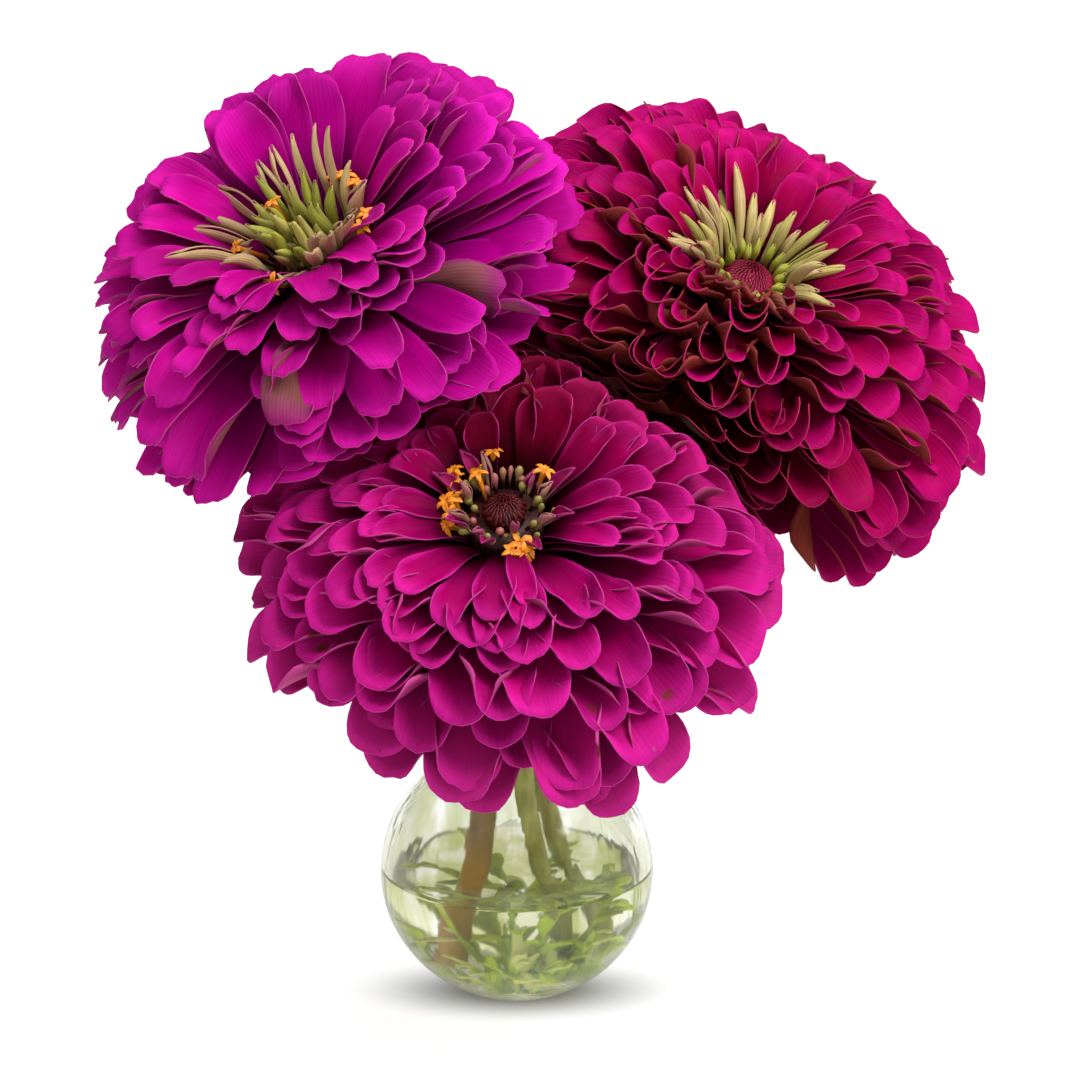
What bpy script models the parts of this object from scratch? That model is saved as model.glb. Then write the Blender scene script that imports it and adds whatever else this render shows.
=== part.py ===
"""Three double zinnia blooms standing in a small round glass vase of water.

Metres, +Z up. The origin is the centre of the vase's flat foot, on the surface that it stands on.
The front of the bunch faces -Y. Run with: blender --background --python part.py

Each bloom is built in its own frame: z is the bloom's axis, pointing out of its face, z = 0 is the
level of its heart, and y points to its upper side. Petals sit on the golden-angle spiral, from the
youngest at the heart to the oldest at the rim, and a table says how they change on the way.
"""

import math

import bmesh
import bpy
import numpy as np
from mathutils import Matrix, Vector

MM = 0.001
GOLDEN_ANGLE = math.radians(137.50776)
GAP = 0.4 * MM  # clearance between pieces that touch

# The vase: a ball with a flat foot, a short neck and a flared lip.
BALL_RADIUS = 30.0 * MM
FOOT_RADIUS = 10.5 * MM
WALL = 2.2 * MM
BASE_THICKNESS = 6.0 * MM
NECK_RADIUS = 11.6 * MM
NECK_HEIGHT = 60.5 * MM
LIP_RADIUS = 14.5 * MM
RIM_HEIGHT = 67.0 * MM
BALL_CENTRE = math.sqrt(BALL_RADIUS**2 - FOOT_RADIUS**2)
WATER_LEVEL = 29.3 * MM
WELL_RADIUS = 14.5 * MM  # the hole in the water that the cut greens stand in
WELL_FLOOR = 9.0 * MM

# Petals are blades of a few triangles, standing out of a solid core.
BLADE_THICKNESS = 0.75 * MM
PETAL_ROWS = (0.26, 0.80, 1.0)  # how far along the petal its root, broad and tip rows are
TIP_SPAN = 0.64  # how far out the tip row's corners are, as a share of the half width
CLAW = 0.30  # the root's share of the full width
CORE_LINE = 0.42  # the core's surface passes through the petals this far along them
CORE_FLOOR = -2.2 * MM  # the floor of the crater that the heart sits in
CORE_BOTTOM = -24.0 * MM

# Stems and the calyx, the cup of overlapping green bracts under each bloom.
STEM_RADIUS = 2.6 * MM
STEM_STEPS = 4  # pieces of a stem between two of its knots
CALYX_RADIUS = 10.5 * MM
CALYX_DEPTH = 11.0 * MM
CALYX_BRACTS = 8
NAPE = 9.0 * MM  # the stem runs straight along the bloom's axis for this far below the calyx
# Rings of the calyx: height as a share of its depth, radius as a share of its own, and how far the
# bracts' tips stand out there, in mm.
CALYX_RINGS = (
    (0.00, 0.28, 0.0),
    (0.12, 0.52, 0.0),
    (0.40, 0.86, 0.7),
    (0.46, 0.80, -0.3),
    (0.74, 0.97, -0.5),
    (0.80, 0.99, 0.6),
    (1.00, 1.00, 0.0),
)

# The columns of a bloom's table, each row one age of petal: age (0 at the heart, 1 at the rim), the
# root's radius and height, the tip's radius and height, all in mm, the slope at the root and at the
# tip in degrees, the half width in mm, and the trough, half the angle that the blade's cross-section
# turns through, in radians. A sector is an azimuth and a spread in degrees, and what is added to the
# petals near it: to the tip's radius and height in mm and to its slope in degrees. The stem's knots,
# in mm, are its cut end, its place in the vase's neck and a point above it.
BLOOMS = {
    "front": {
        "heart": (-2.1, -45.0, 121.6),
        "axis": (0.0, -0.574, 0.819),
        "petals": 66,
        "seed": 11,
        "back_lift": 0.0,
        "crater": 10.4,
        "table": (
            (0.00, 9.0, -1.0, 18.0, 7.5, 60, 34, 3.8, 0.9),
            (0.12, 9.5, -2.5, 24.0, 8.0, 50, 12, 5.2, 0.75),
            (0.26, 9.5, -5.0, 30.5, 6.5, 44, 0, 6.4, 0.6),
            (0.44, 9.5, -8.5, 38.0, 2.5, 40, -12, 7.2, 0.5),
            (0.63, 9.5, -12.0, 45.5, -4.5, 32, -22, 7.7, 0.45),
            (0.80, 9.5, -16.0, 51.5, -13.5, 20, -30, 7.9, 0.45),
            (0.92, 9.5, -20.0, 54.0, -23.0, 6, -38, 8.1, 0.4),
            (1.00, 9.5, -22.0, 52.0, -32.0, -6, -46, 8.1, 0.4),
        ),
        "sectors": ((291, 17, 7.0, -2.0, 0.0), (345, 25, 2.5, 0.0, 0.0), (182, 16, 2.5, 0.0, 0.0)),
        "stem": ((-11.5, -5.0, 12.5), (-4.6, -2.4, 63.0), (-4.9, -6.5, 73.0)),
        "stem_scale": 1.1,
    },
    "left": {
        "heart": (-43.5, -4.0, 170.0),
        "axis": (-0.35, -0.5, 0.79),
        "petals": 56,
        "seed": 5,
        "back_lift": 3.0,
        "crater": 8.4,
        "table": (
            (0.00, 8.0, -1.5, 29.0, 18.5, 56, 24, 5.4, 0.6),
            (0.15, 8.5, -3.5, 34.0, 16.5, 50, 14, 6.8, 0.45),
            (0.33, 9.0, -6.5, 40.0, 12.0, 43, 2, 8.0, 0.35),
            (0.55, 9.0, -10.0, 46.5, 4.0, 34, -11, 8.8, 0.25),
            (0.78, 9.5, -14.0, 51.5, -7.0, 20, -24, 9.2, 0.15),
            (1.00, 9.5, -18.0, 50.0, -24.0, 0, -42, 9.4, 0.1),
        ),
        "sectors": ((142, 42, -5.5, -2.5, 0.0), (62, 30, 5.0, 1.0, 0.0), (272, 30, 8.0, -1.5, 0.0)),
        "stem": ((13.5, 4.5, 15.5), (0.4, 5.6, 63.0), (-14.0, 11.0, 97.0)),
        "stem_scale": 1.0,
    },
    "right": {
        "heart": (50.0, 14.0, 157.5),
        "axis": (0.25, -0.55, 0.797),
        "petals": 62,
        "seed": 23,
        "back_lift": 2.0,
        "crater": 9.4,
        "table": (
            (0.00, 9.0, -1.5, 22.0, 12.0, 58, 30, 3.5, 1.0),
            (0.12, 9.0, -3.5, 30.0, 11.0, 50, 10, 5.6, 0.7),
            (0.33, 9.5, -8.0, 41.0, 6.0, 42, -6, 7.6, 0.5),
            (0.58, 9.5, -12.5, 51.0, -2.5, 29, -20, 8.6, 0.45),
            (0.78, 9.5, -17.0, 57.0, -13.0, 12, -30, 9.0, 0.4),
            (0.92, 9.5, -20.0, 57.0, -24.0, 0, -38, 9.0, 0.4),
            (1.00, 9.5, -22.0, 54.0, -33.0, -10, -46, 9.0, 0.4),
        ),
        "sectors": (
            (228, 46, 0.0, 4.0, 24.0),
            (278, 30, 7.0, -3.0, 0.0),
            (112, 32, 1.0, 3.5, 0.0),
            (40, 40, -3.5, -1.5, 0.0),
        ),
        "stem": ((8.0, -3.0, 15.0), (1.8, -4.6, 63.0), (24.0, 22.0, 94.0)),
        "stem_scale": 1.0,
    },
}

# Planes between neighbouring blooms: the bloom on the side that the normal points to, the other one,
# the normal, and the plane's distance from the origin in mm. Petals near a plane ease off along it.
DIVIDES = (
    ("left", "front", (-0.34, -0.271, 0.90), 140.3),
    ("right", "front", (0.616, 0.595, 0.516), 76.9),
    ("left", "right", (-0.431, -0.615, 0.661), 104.7),
)
DIVIDE_BEND = 7.0 * MM
DIVIDE_GAP = 0.8 * MM  # from the plane to the middle of a blade

# The hearts, in mm. Dome: radius and height. Each ring of quills, which are young petals still rolled
# up: how many, root radius, tip radius, tip height, half thickness. Stars, which are the open disc
# florets: how many, the radius of their ring, and their height.
HEARTS = {
    "front": {"dome": (8.6, 2.6), "quills": ((8, 5.6, 6.8, 5.2, 0.75),), "stars": (7, 8.0, 5.4)},
    "left": {
        "dome": (7.0, 2.0),
        "quills": ((6, 2.6, 3.6, 15.0, 0.85), (9, 5.4, 10.2, 15.5, 0.9)),
        "stars": (0, 0.0, 0.0),
    },
    "right": {"dome": (7.8, 4.0), "quills": ((9, 6.6, 9.4, 8.6, 0.8),), "stars": (0, 0.0, 0.0)},
}
HEART_FLOOR = CORE_FLOOR + GAP
HEART_SKIRT = 0.8 * MM  # height of the dome's upright edge
STAR_RADIUS = 2.3 * MM
STAR_WAIST = 0.42  # the inner corners of a star, as a share of its radius
STAR_THICKNESS = 0.7 * MM
STAR_LEAN = math.radians(20)

# The cut greens, a short sprig on the vase's floor: its root in mm, its knots above the root, and for
# each leaf the direction about z and the slope in degrees, and the length in mm.
GREENS_ROOT = (0.0, -1.0, 10.5)
GREENS_KNOTS = ((0.0, 0.0, 0.0), (0.2, 0.1, 3.0), (-0.4, 0.0, 7.0))
GREENS_LEAVES = (
    (-100, 38, 13.0),
    (-62, 22, 14.0),
    (100, 34, 12.0),
    (-140, 20, 13.0),
    (-178, 46, 10.0),
    (146, 24, 12.0),
    (60, 52, 9.0),
    (-80, 66, 14.0),
)
LEAF_ROWS = ((0.02, 0.5), (0.35, 1.6), (0.72, 1.4), (1.0, 0.5))  # share of the length, half width in mm

# Each finish: base colour, roughness, and the share of light that passes through.
FINISHES = {
    "petals_front": ((0.34, 0.004, 0.15), 0.6, 0.0),
    "petals_left": ((0.44, 0.006, 0.27), 0.6, 0.0),
    "petals_right": ((0.36, 0.004, 0.11), 0.6, 0.0),
    "heart_front": ((0.20, 0.07, 0.01), 0.8, 0.0),
    "heart_left": ((0.26, 0.24, 0.06), 0.7, 0.0),
    "heart_right": ((0.24, 0.20, 0.06), 0.7, 0.0),
    "stem_front": ((0.20, 0.15, 0.07), 0.6, 0.0),
    "stem_left": ((0.17, 0.19, 0.06), 0.6, 0.0),
    "stem_right": ((0.15, 0.20, 0.05), 0.6, 0.0),
    "greens": ((0.10, 0.19, 0.02), 0.55, 0.0),
    "vase": ((0.82, 0.86, 0.78), 0.05, 1.0),
    "water": ((0.80, 0.86, 0.76), 0.02, 1.0),
}


def material(key):
    """The named finish, as a Principled material."""
    colour, roughness, clear = FINISHES[key]
    made = bpy.data.materials.new(key)
    made.use_nodes = True
    shader = made.node_tree.nodes["Principled BSDF"]
    shader.inputs["Base Color"].default_value = (*colour, 1.0)
    shader.inputs["Roughness"].default_value = roughness
    shader.inputs["Transmission Weight"].default_value = clear
    return made


def new_object(name, mesh, collection=None):
    """An object that holds this mesh, in a collection or in the scene itself."""
    obj = bpy.data.objects.new(name, mesh)
    (collection or bpy.context.scene.collection).objects.link(obj)
    return obj


def new_collection(name):
    """A collection in the scene."""
    made = bpy.data.collections.new(name)
    bpy.context.scene.collection.children.link(made)
    return made


def spun(name, profile, segments, collection=None):
    """A solid of revolution: points of (radius, height) from the axis round to the axis, spun about z."""
    work = bmesh.new()
    points = [work.verts.new((radius, 0.0, height)) for radius, height in profile]
    edges = [work.edges.new(pair) for pair in zip(points, points[1:])]
    turn = {"cent": (0, 0, 0), "axis": (0, 0, 1), "angle": math.tau, "steps": segments}
    bmesh.ops.spin(work, geom=points + edges, **turn)
    bmesh.ops.remove_doubles(work, verts=work.verts, dist=0.01 * MM)
    bmesh.ops.recalc_face_normals(work, faces=work.faces)
    mesh = bpy.data.meshes.new(name)
    work.to_mesh(mesh)
    work.free()
    return new_object(name, mesh, collection)


def tube(name, path, radii, resolution, collection=None):
    """A closed tube along a path: a bevelled curve with filled caps, turned into a welded mesh."""
    curve = bpy.data.curves.new(name, "CURVE")
    curve.dimensions = "3D"
    curve.bevel_depth = 1.0
    curve.bevel_resolution = resolution
    curve.use_fill_caps = True
    spline = curve.splines.new("POLY")
    spline.points.add(len(path) - 1)
    for point, place, radius in zip(spline.points, path, radii):
        point.co = (*place, 1.0)
        point.radius = radius
    guide = new_object(name, curve)
    mesh = bpy.data.meshes.new_from_object(guide)
    bpy.data.objects.remove(guide)
    work = bmesh.new()
    work.from_mesh(mesh)
    bmesh.ops.remove_doubles(work, verts=work.verts, dist=0.001 * MM)
    bmesh.ops.recalc_face_normals(work, faces=work.faces)
    work.to_mesh(mesh)
    work.free()
    return new_object(name, mesh, collection)


def blade(name, points, faces, thickness, collection):
    """A thin closed blade: a surface with half of its thickness on either side."""
    mesh = bpy.data.meshes.new(name)
    mesh.from_pydata([tuple(point) for point in points], [], faces)
    obj = new_object(name, mesh, collection)
    solidify = obj.modifiers.new("thickness", "SOLIDIFY")
    solidify.thickness = thickness
    solidify.offset = 0.0
    return obj


def combined(body, others, operation):
    """The body joined with, or cut by, a collection of solids in one Boolean. The collection is removed."""
    boolean = body.modifiers.new(operation.lower(), "BOOLEAN")
    boolean.operation = operation
    boolean.operand_type = "COLLECTION"
    boolean.collection = others
    boolean.solver = "EXACT"
    graph = bpy.context.evaluated_depsgraph_get()
    mesh = bpy.data.meshes.new_from_object(body.evaluated_get(graph))
    body.modifiers.clear()
    body.data = mesh
    for obj in list(others.objects):
        bpy.data.objects.remove(obj)
    bpy.data.collections.remove(others)
    return body


def finished(body, smooth_angle):
    """The body with its own finish, shaded smooth across edges that are blunter than the angle."""
    body.data.materials.clear()
    body.data.materials.append(material(body.name))
    body.data.shade_smooth()
    body.data.set_sharp_from_angle(angle=math.radians(smooth_angle))
    return body


def arc(radius, centre, start, end, steps):
    """Points (radius, height) on a circle about (0, centre), between two angles above the horizon."""
    angles = np.linspace(start, end, steps)
    return [(radius * math.cos(a), centre + radius * math.sin(a)) for a in angles]


def smooth_path(knots, steps):
    """Points on a Catmull-Rom curve through the knots."""
    knots = np.asarray(knots, float)
    padded = np.vstack([2 * knots[0] - knots[1], knots, 2 * knots[-1] - knots[-2]])
    t = np.linspace(0, 1, steps, endpoint=False)[:, None]
    spans = [
        b + 0.5 * ((c - a) * t + (2 * a - 5 * b + 4 * c - d) * t**2 + (3 * b - a - 3 * c + d) * t**3)
        for a, b, c, d in zip(padded, padded[1:], padded[2:], padded[3:])
    ]
    return np.vstack([*spans, knots[-1:]])


def make_vase():
    """The glass: a ball outside and in, with a thick base, a short neck and a rolled lip."""
    bore = BALL_RADIUS - WALL
    throat = NECK_RADIUS - WALL
    foot_angle = -math.acos(FOOT_RADIUS / BALL_RADIUS)
    shoulder_angle = math.acos(NECK_RADIUS / BALL_RADIUS) - 0.09
    base_angle = math.asin((BASE_THICKNESS - BALL_CENTRE) / bore)
    inner_shoulder_angle = math.acos(throat / bore) - 0.10
    profile = [(0.0, 0.0)]
    profile += arc(BALL_RADIUS, BALL_CENTRE, foot_angle, shoulder_angle, 10)
    profile += [
        (NECK_RADIUS + 0.2 * MM, NECK_HEIGHT - 1.2 * MM),
        (NECK_RADIUS, NECK_HEIGHT + 1.2 * MM),
        (LIP_RADIUS - 1.4 * MM, RIM_HEIGHT - 2.0 * MM),
        (LIP_RADIUS, RIM_HEIGHT - 0.6 * MM),
        (LIP_RADIUS - 0.5 * MM, RIM_HEIGHT),
        (LIP_RADIUS - 2.2 * MM, RIM_HEIGHT - 0.4 * MM),
        (throat + 0.1 * MM, NECK_HEIGHT + 1.6 * MM),
        (throat, NECK_HEIGHT - 1.2 * MM),
    ]
    profile += arc(bore, BALL_CENTRE, inner_shoulder_angle, base_angle, 9)
    profile += [(0.0, BASE_THICKNESS)]
    return finished(spun("vase", profile, 28), 40)


def make_water():
    """The water: the ball's inside up to the water level, with plain holes for the stems and greens."""
    radius = BALL_RADIUS - WALL - 2 * GAP
    floor = BASE_THICKNESS + GAP
    low = math.asin((floor - BALL_CENTRE) / radius)
    high = math.asin((WATER_LEVEL - BALL_CENTRE) / radius)
    over = WATER_LEVEL + 5 * MM
    profile = [(0.0, floor), *arc(radius, BALL_CENTRE, low, high, 8), (0.0, WATER_LEVEL)]
    water = spun("water", profile, 28)
    holes = new_collection("holes")
    well = [(0.0, WELL_FLOOR), (WELL_RADIUS, WELL_FLOOR), (WELL_RADIUS, over), (0.0, over)]
    spun("well", well, 20, holes)
    for name, bloom in BLOOMS.items():
        path = stem_path(name)[: STEM_STEPS + 1]
        below = path[0] - 1.0 * MM * (path[1] - path[0]) / np.linalg.norm(path[1] - path[0])
        radius = STEM_RADIUS * bloom["stem_scale"] + 0.6 * MM
        tube(f"hole_{name}", [below, *path], [radius] * (len(path) + 1), 2, holes)
    return finished(combined(water, holes, "DIFFERENCE"), 30)


def bloom_matrix(name):
    """The place of a bloom's frame in the world."""
    bloom = BLOOMS[name]
    z = Vector(bloom["axis"]).normalized()
    x = Vector((0, 0, 1)).cross(z).normalized()
    y = z.cross(x)
    turn = Matrix((x, y, z)).transposed().to_4x4()
    return Matrix.Translation(Vector(bloom["heart"]) * MM) @ turn


def eased_apart(name, points):
    """Points of a bloom's own frame, moved off the planes that divide it from its neighbours.

    Within the bend of a plane a distance d becomes bend * exp(d / bend - 1), so none crosses it."""
    place = bloom_matrix(name)
    for above, below, direction, offset in DIVIDES:
        if name not in (above, below):
            continue
        side = 1.0 if name == above else -1.0
        direction = side * Vector(direction).normalized()
        reach = direction.dot(place.translation) - side * offset * MM - DIVIDE_GAP
        normal = np.array(place.to_3x3().transposed() @ direction)
        distance = points @ normal + reach
        eased = DIVIDE_BEND * np.exp(np.minimum(distance / DIVIDE_BEND - 1, 0))
        shift = np.where(distance < DIVIDE_BEND, eased - distance, 0.0)
        points = points + shift[:, None] * normal
    return points


def from_table(table, ages):
    """The table's other columns at these ages, by a smooth cubic between its rows."""
    rows = np.asarray(table, float)
    at, values = rows[:, 0], rows[:, 1:]
    slopes = np.gradient(values, at, axis=0)
    k = np.clip(np.searchsorted(at, ages) - 1, 0, len(at) - 2)
    step = (at[k + 1] - at[k])[:, None]
    q = (ages[:, None] - at[k][:, None]) / step
    return (
        (2 * q**3 - 3 * q**2 + 1) * values[k]
        + (q**3 - 2 * q**2 + q) * slopes[k] * step
        + (3 * q**2 - 2 * q**3) * values[k + 1]
        + (q**3 - q**2) * slopes[k + 1] * step
    )


def midrib(values, along):
    """(radius, height) and unit tangent of a petal's midrib, a cubic Bezier curve, these shares along it."""
    root, tip = values[0:2] * MM, values[2:4] * MM
    root_slope, tip_slope = np.radians(values[4:6])
    chord = np.hypot(*(tip - root))
    rise = root + 0.38 * chord * np.array((math.cos(root_slope), math.sin(root_slope)))
    fall = tip - 0.34 * chord * np.array((math.cos(tip_slope), math.sin(tip_slope)))
    t = np.asarray(along, float)[..., None]
    point = (1 - t) ** 3 * root + 3 * t * (1 - t) ** 2 * rise + 3 * t**2 * (1 - t) * fall + t**3 * tip
    ahead = (1 - t) ** 2 * (rise - root) + 2 * t * (1 - t) * (fall - rise) + t**2 * (tip - fall)
    return point, ahead / np.linalg.norm(ahead, axis=-1, keepdims=True)


# A petal's surface is eight points: two at the root, three across its broad part and three round its
# tip, each row from one margin to the other. Its seven triangles mirror about the midrib.
PETAL_ACROSS = np.array((-1, 1, -1, 0, 1, -TIP_SPAN, 0, TIP_SPAN))
PETAL_ROW = np.array((0, 0, 1, 1, 1, 2, 2, 2))
PETAL_FACES = ((0, 3, 2), (0, 1, 3), (1, 4, 3), (2, 6, 5), (2, 3, 6), (3, 4, 6), (4, 7, 6))


def petal_points(values, angle):
    """The eight points of one petal in the bloom's frame.

    The width swells from the claw, the tip row lies on a rounded end, and each row is bent into an
    arc, so that the petal is a shallow trough."""
    half_width, trough = values[6] * MM, values[7]
    length = 1.04 * np.hypot(*(values[2:4] - values[0:2])) * MM
    along = np.array(PETAL_ROWS)[PETAL_ROW]
    rounding = (1 - np.sqrt(1 - PETAL_ACROSS**2)) * 0.95 * half_width / length
    along = along - np.where(PETAL_ROW == 2, rounding, 0.0)
    swell = np.clip(along / 0.72, 0, 1)
    width = half_width * (CLAW + (1 - CLAW) * (3 * swell**2 - 2 * swell**3) ** 0.8)
    centre, ahead = midrib(values, along)
    turn = trough * (0.55 + 0.45 * along)
    sideways = width * np.sin(turn * PETAL_ACROSS) / turn
    upward = width * (1 - np.cos(turn * PETAL_ACROSS)) / turn
    radius = centre[:, 0] - upward * ahead[:, 1]
    height = centre[:, 1] + upward * ahead[:, 0]
    x = radius * math.cos(angle) - sideways * math.sin(angle)
    y = radius * math.sin(angle) + sideways * math.cos(angle)
    return np.stack([x, y, height], axis=-1)


def petal_values(bloom):
    """Each petal's row of the table and its angle, with the seeded unevenness of a grown thing."""
    count = bloom["petals"]
    ages = (np.arange(count) + 0.5) / count
    values = from_table(bloom["table"], ages)
    uneven = np.random.default_rng(bloom["seed"]).normal(size=(count, 5))
    angles = np.arange(count) * GOLDEN_ANGLE + 0.05 * uneven[:, 0]
    values[:, 2] *= 1 + 0.03 * uneven[:, 1]
    grown = np.clip(2 * ages, 0, 1)
    values[:, 3] += 0.9 * uneven[:, 2] + bloom["back_lift"] * np.sin(angles) * grown
    values[:, 4] += 2 * uneven[:, 3]
    values[:, 5] += 5 * uneven[:, 4]
    for azimuth, spread, reach, height, slope in bloom["sectors"]:
        apart = (np.degrees(angles) - azimuth + 180) % 360 - 180
        share = np.exp(-((apart / spread) ** 2))
        values[:, 2] += reach * share * grown
        values[:, 3] += height * share
        values[:, 5] += slope * share
    return values, angles


def core_profile(bloom):
    """The outline of the core: the crater, a dome through the petals, and a floor that slopes to the calyx."""
    rows = from_table(bloom["table"], np.linspace(0, 1, 7))
    dome = [tuple(midrib(row, CORE_LINE)[0]) for row in rows]
    crater = bloom["crater"] * MM
    rim_radius, rim_height = dome[-1]
    return [
        (0.0, CORE_FLOOR),
        (crater, CORE_FLOOR),
        *dome,
        (rim_radius - 2.5 * MM, rim_height - 1.6 * MM),
        (CALYX_RADIUS + 1.5 * MM, CORE_BOTTOM),
        (0.0, CORE_BOTTOM),
    ]


def make_petals(name, frame):
    """One bloom's petals, joined to the core that they stand out of."""
    core = spun(f"petals_{name}", core_profile(BLOOMS[name]), 14)
    for vertex, place in zip(core.data.vertices, eased_apart(name, vertex_array(core.data))):
        vertex.co = place
    blades = new_collection(f"blades_{name}")
    for k, (values, angle) in enumerate(zip(*petal_values(BLOOMS[name]))):
        points = eased_apart(name, petal_points(values, angle))
        blade(f"blade_{name}_{k}", points, PETAL_FACES, BLADE_THICKNESS, blades)
    petals = finished(combined(core, blades, "UNION"), 35)
    petals.parent = frame
    return petals


def vertex_array(mesh):
    """The mesh's points as rows of an array."""
    return np.array([tuple(vertex.co) for vertex in mesh.vertices])


def around(angle, outline):
    """Points (radius, height) of an outline, stood up at an angle about z."""
    return [(r * math.cos(angle), r * math.sin(angle), z) for r, z in outline]


def make_star(name, place, collection):
    """A flat five-pointed floret, at the place that the matrix gives."""
    corners = []
    for k in range(10):
        reach = STAR_RADIUS * (STAR_WAIST if k % 2 else 1.0)
        corners.append(place @ Vector((reach * math.cos(k * math.pi / 5), reach * math.sin(k * math.pi / 5), 0)))
    return blade(name, corners, [tuple(range(10))], STAR_THICKNESS, collection)


def make_heart(name, frame):
    """The heart: a low dome of disc florets, with its young rolled petals and its open star florets."""
    plan = HEARTS[name]
    radius, height = (size * MM for size in plan["dome"])
    skirt = HEART_FLOOR + HEART_SKIRT
    dome = [(radius * math.cos(a), skirt + height * math.sin(a)) for a in (0.0, 0.5, 1.0)]
    body = spun(f"heart_{name}", [(0.0, HEART_FLOOR), (radius, HEART_FLOOR), *dome, (0.0, skirt + height)], 16)
    florets = new_collection(f"florets_{name}")
    base = HEART_FLOOR + HEART_SKIRT / 2
    for ring, (count, root, tip, top, half) in enumerate(plan["quills"]):
        for k in range(count):
            angle = math.tau * (k + 0.5 * ring) / count
            outline = ((root * MM, base), ((0.6 * root + 0.4 * tip) * MM, 0.5 * top * MM), (tip * MM, top * MM))
            radii = (0.85 * half * MM, half * MM, 0.6 * half * MM)
            tube(f"quill_{name}_{ring}_{k}", around(angle, outline), radii, 0, florets)
    count, ring_radius, top = plan["stars"]
    for k in range(count):
        angle = math.tau * (k + 0.25) / count
        outline = ((ring_radius * MM - 1.0 * MM, base), (ring_radius * MM, top * MM))
        tube(f"stalk_{name}_{k}", around(angle, outline), (0.6 * MM, 0.6 * MM), 0, florets)
        lean = Matrix.Rotation(angle, 4, "Z") @ Matrix.Rotation(STAR_LEAN, 4, "Y")
        place = Matrix.Translation(around(angle, outline)[-1]) @ lean
        make_star(f"star_{name}_{k}", place, florets)
    heart = finished(combined(body, florets, "UNION"), 30)
    heart.parent = frame
    return heart


def stem_path(name):
    """The middle line of a stem, from its cut end into the calyx."""
    place = bloom_matrix(name)
    calyx_base = CORE_BOTTOM - GAP - CALYX_DEPTH
    heights = (calyx_base - NAPE, calyx_base, calyx_base + 3 * MM)
    top = [place @ Vector((0, 0, height)) for height in heights]
    return smooth_path([*(np.array(BLOOMS[name]["stem"]) * MM), *top], STEM_STEPS)


def make_stem(name):
    """A stem, with the cup of green bracts at its head: rings whose radius waves once for each bract."""
    path = stem_path(name)
    tubes = new_collection(f"tube_{name}")
    tube(f"tube_{name}", path, [STEM_RADIUS * BLOOMS[name]["stem_scale"]] * len(path), 2, tubes)
    base = CORE_BOTTOM - GAP - CALYX_DEPTH
    rings = [(CALYX_RADIUS * width, base + CALYX_DEPTH * share) for share, width, _ in CALYX_RINGS]
    calyx = spun(f"stem_{name}", [(0.0, base), *rings, (0.0, base + CALYX_DEPTH)], 2 * CALYX_BRACTS)
    flares = {round(height / MM, 2): flare * MM for (_, height), (_, _, flare) in zip(rings, CALYX_RINGS)}
    place = bloom_matrix(name)
    for vertex in calyx.data.vertices:
        x, y, z = vertex.co
        wave = flares[round(z / MM, 2)] * math.cos(CALYX_BRACTS * math.atan2(y, x))
        scale = 1 + wave / max(math.hypot(x, y), MM)
        vertex.co = place @ Vector((x * scale, y * scale, z))
    return finished(combined(calyx, tubes, "UNION"), 50)


def leaf_points(start, turn, slope, length):
    """Four rows of three points of a narrow leaf, which leaves its start in a direction and arches over."""
    share, width = np.array(LEAF_ROWS).T
    width = width[:, None] * MM * np.array((-1.0, 0.0, 1.0))
    out = (length * share * math.cos(slope))[:, None]
    up = (length * (share * math.sin(slope) - 0.18 * share**2))[:, None]
    x = out * math.cos(turn) - width * math.sin(turn)
    y = out * math.sin(turn) + width * math.cos(turn)
    z = up + 0.25 * np.abs(width)
    return start + np.stack([x, y, z], axis=-1).reshape(-1, 3)


def leaf_faces():
    """Triangles between the rows of a leaf, mirrored about its midrib."""
    faces = []
    for a in range(0, 3 * len(LEAF_ROWS) - 3, 3):
        faces += [(a, a + 1, a + 4), (a, a + 4, a + 3), (a + 1, a + 2, a + 4), (a + 2, a + 5, a + 4)]
    return faces


def make_greens():
    """A short sprig of narrow leaves that stands in the water on the vase's floor."""
    root = np.array(GREENS_ROOT) * MM
    path = root + np.array(GREENS_KNOTS) * MM
    body = tube("greens", path, (1.2 * MM, 1.1 * MM, 0.8 * MM), 1)
    leaves = new_collection("leaves")
    for k, (turn, slope, length) in enumerate(GREENS_LEAVES):
        start = root + np.array((0.0, 0.0, 1.0 + 0.6 * k)) * MM
        points = leaf_points(start, math.radians(turn), math.radians(slope), length * MM)
        blade(f"leaf_{k}", points, leaf_faces(), 0.7 * MM, leaves)
    return finished(combined(body, leaves, "UNION"), 50)


def main():
    for obj in list(bpy.data.objects):
        bpy.data.objects.remove(obj)
    make_vase()
    make_water()
    make_greens()
    for name in BLOOMS:
        frame = new_object(f"bloom_{name}", None)
        frame.matrix_world = bloom_matrix(name)
        make_petals(name, frame)
        make_heart(name, frame)
        make_stem(name)


main()
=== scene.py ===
"""Dresses the bunch of three double zinnias in a small glass vase of water.

Every surface is worked out with numpy on a grid of two parameters. A petal's parameters are across
(-1 at one margin, 1 at the other) and along (0 at the root, 1 at the tip). Each bloom has its own
frame: z is the bloom's axis, out of its face, z = 0 is the level of its heart, and y points to its
upper side, so azimuth 0 is to the right seen from the front and 270 degrees is the near side.
"""

import math

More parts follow.
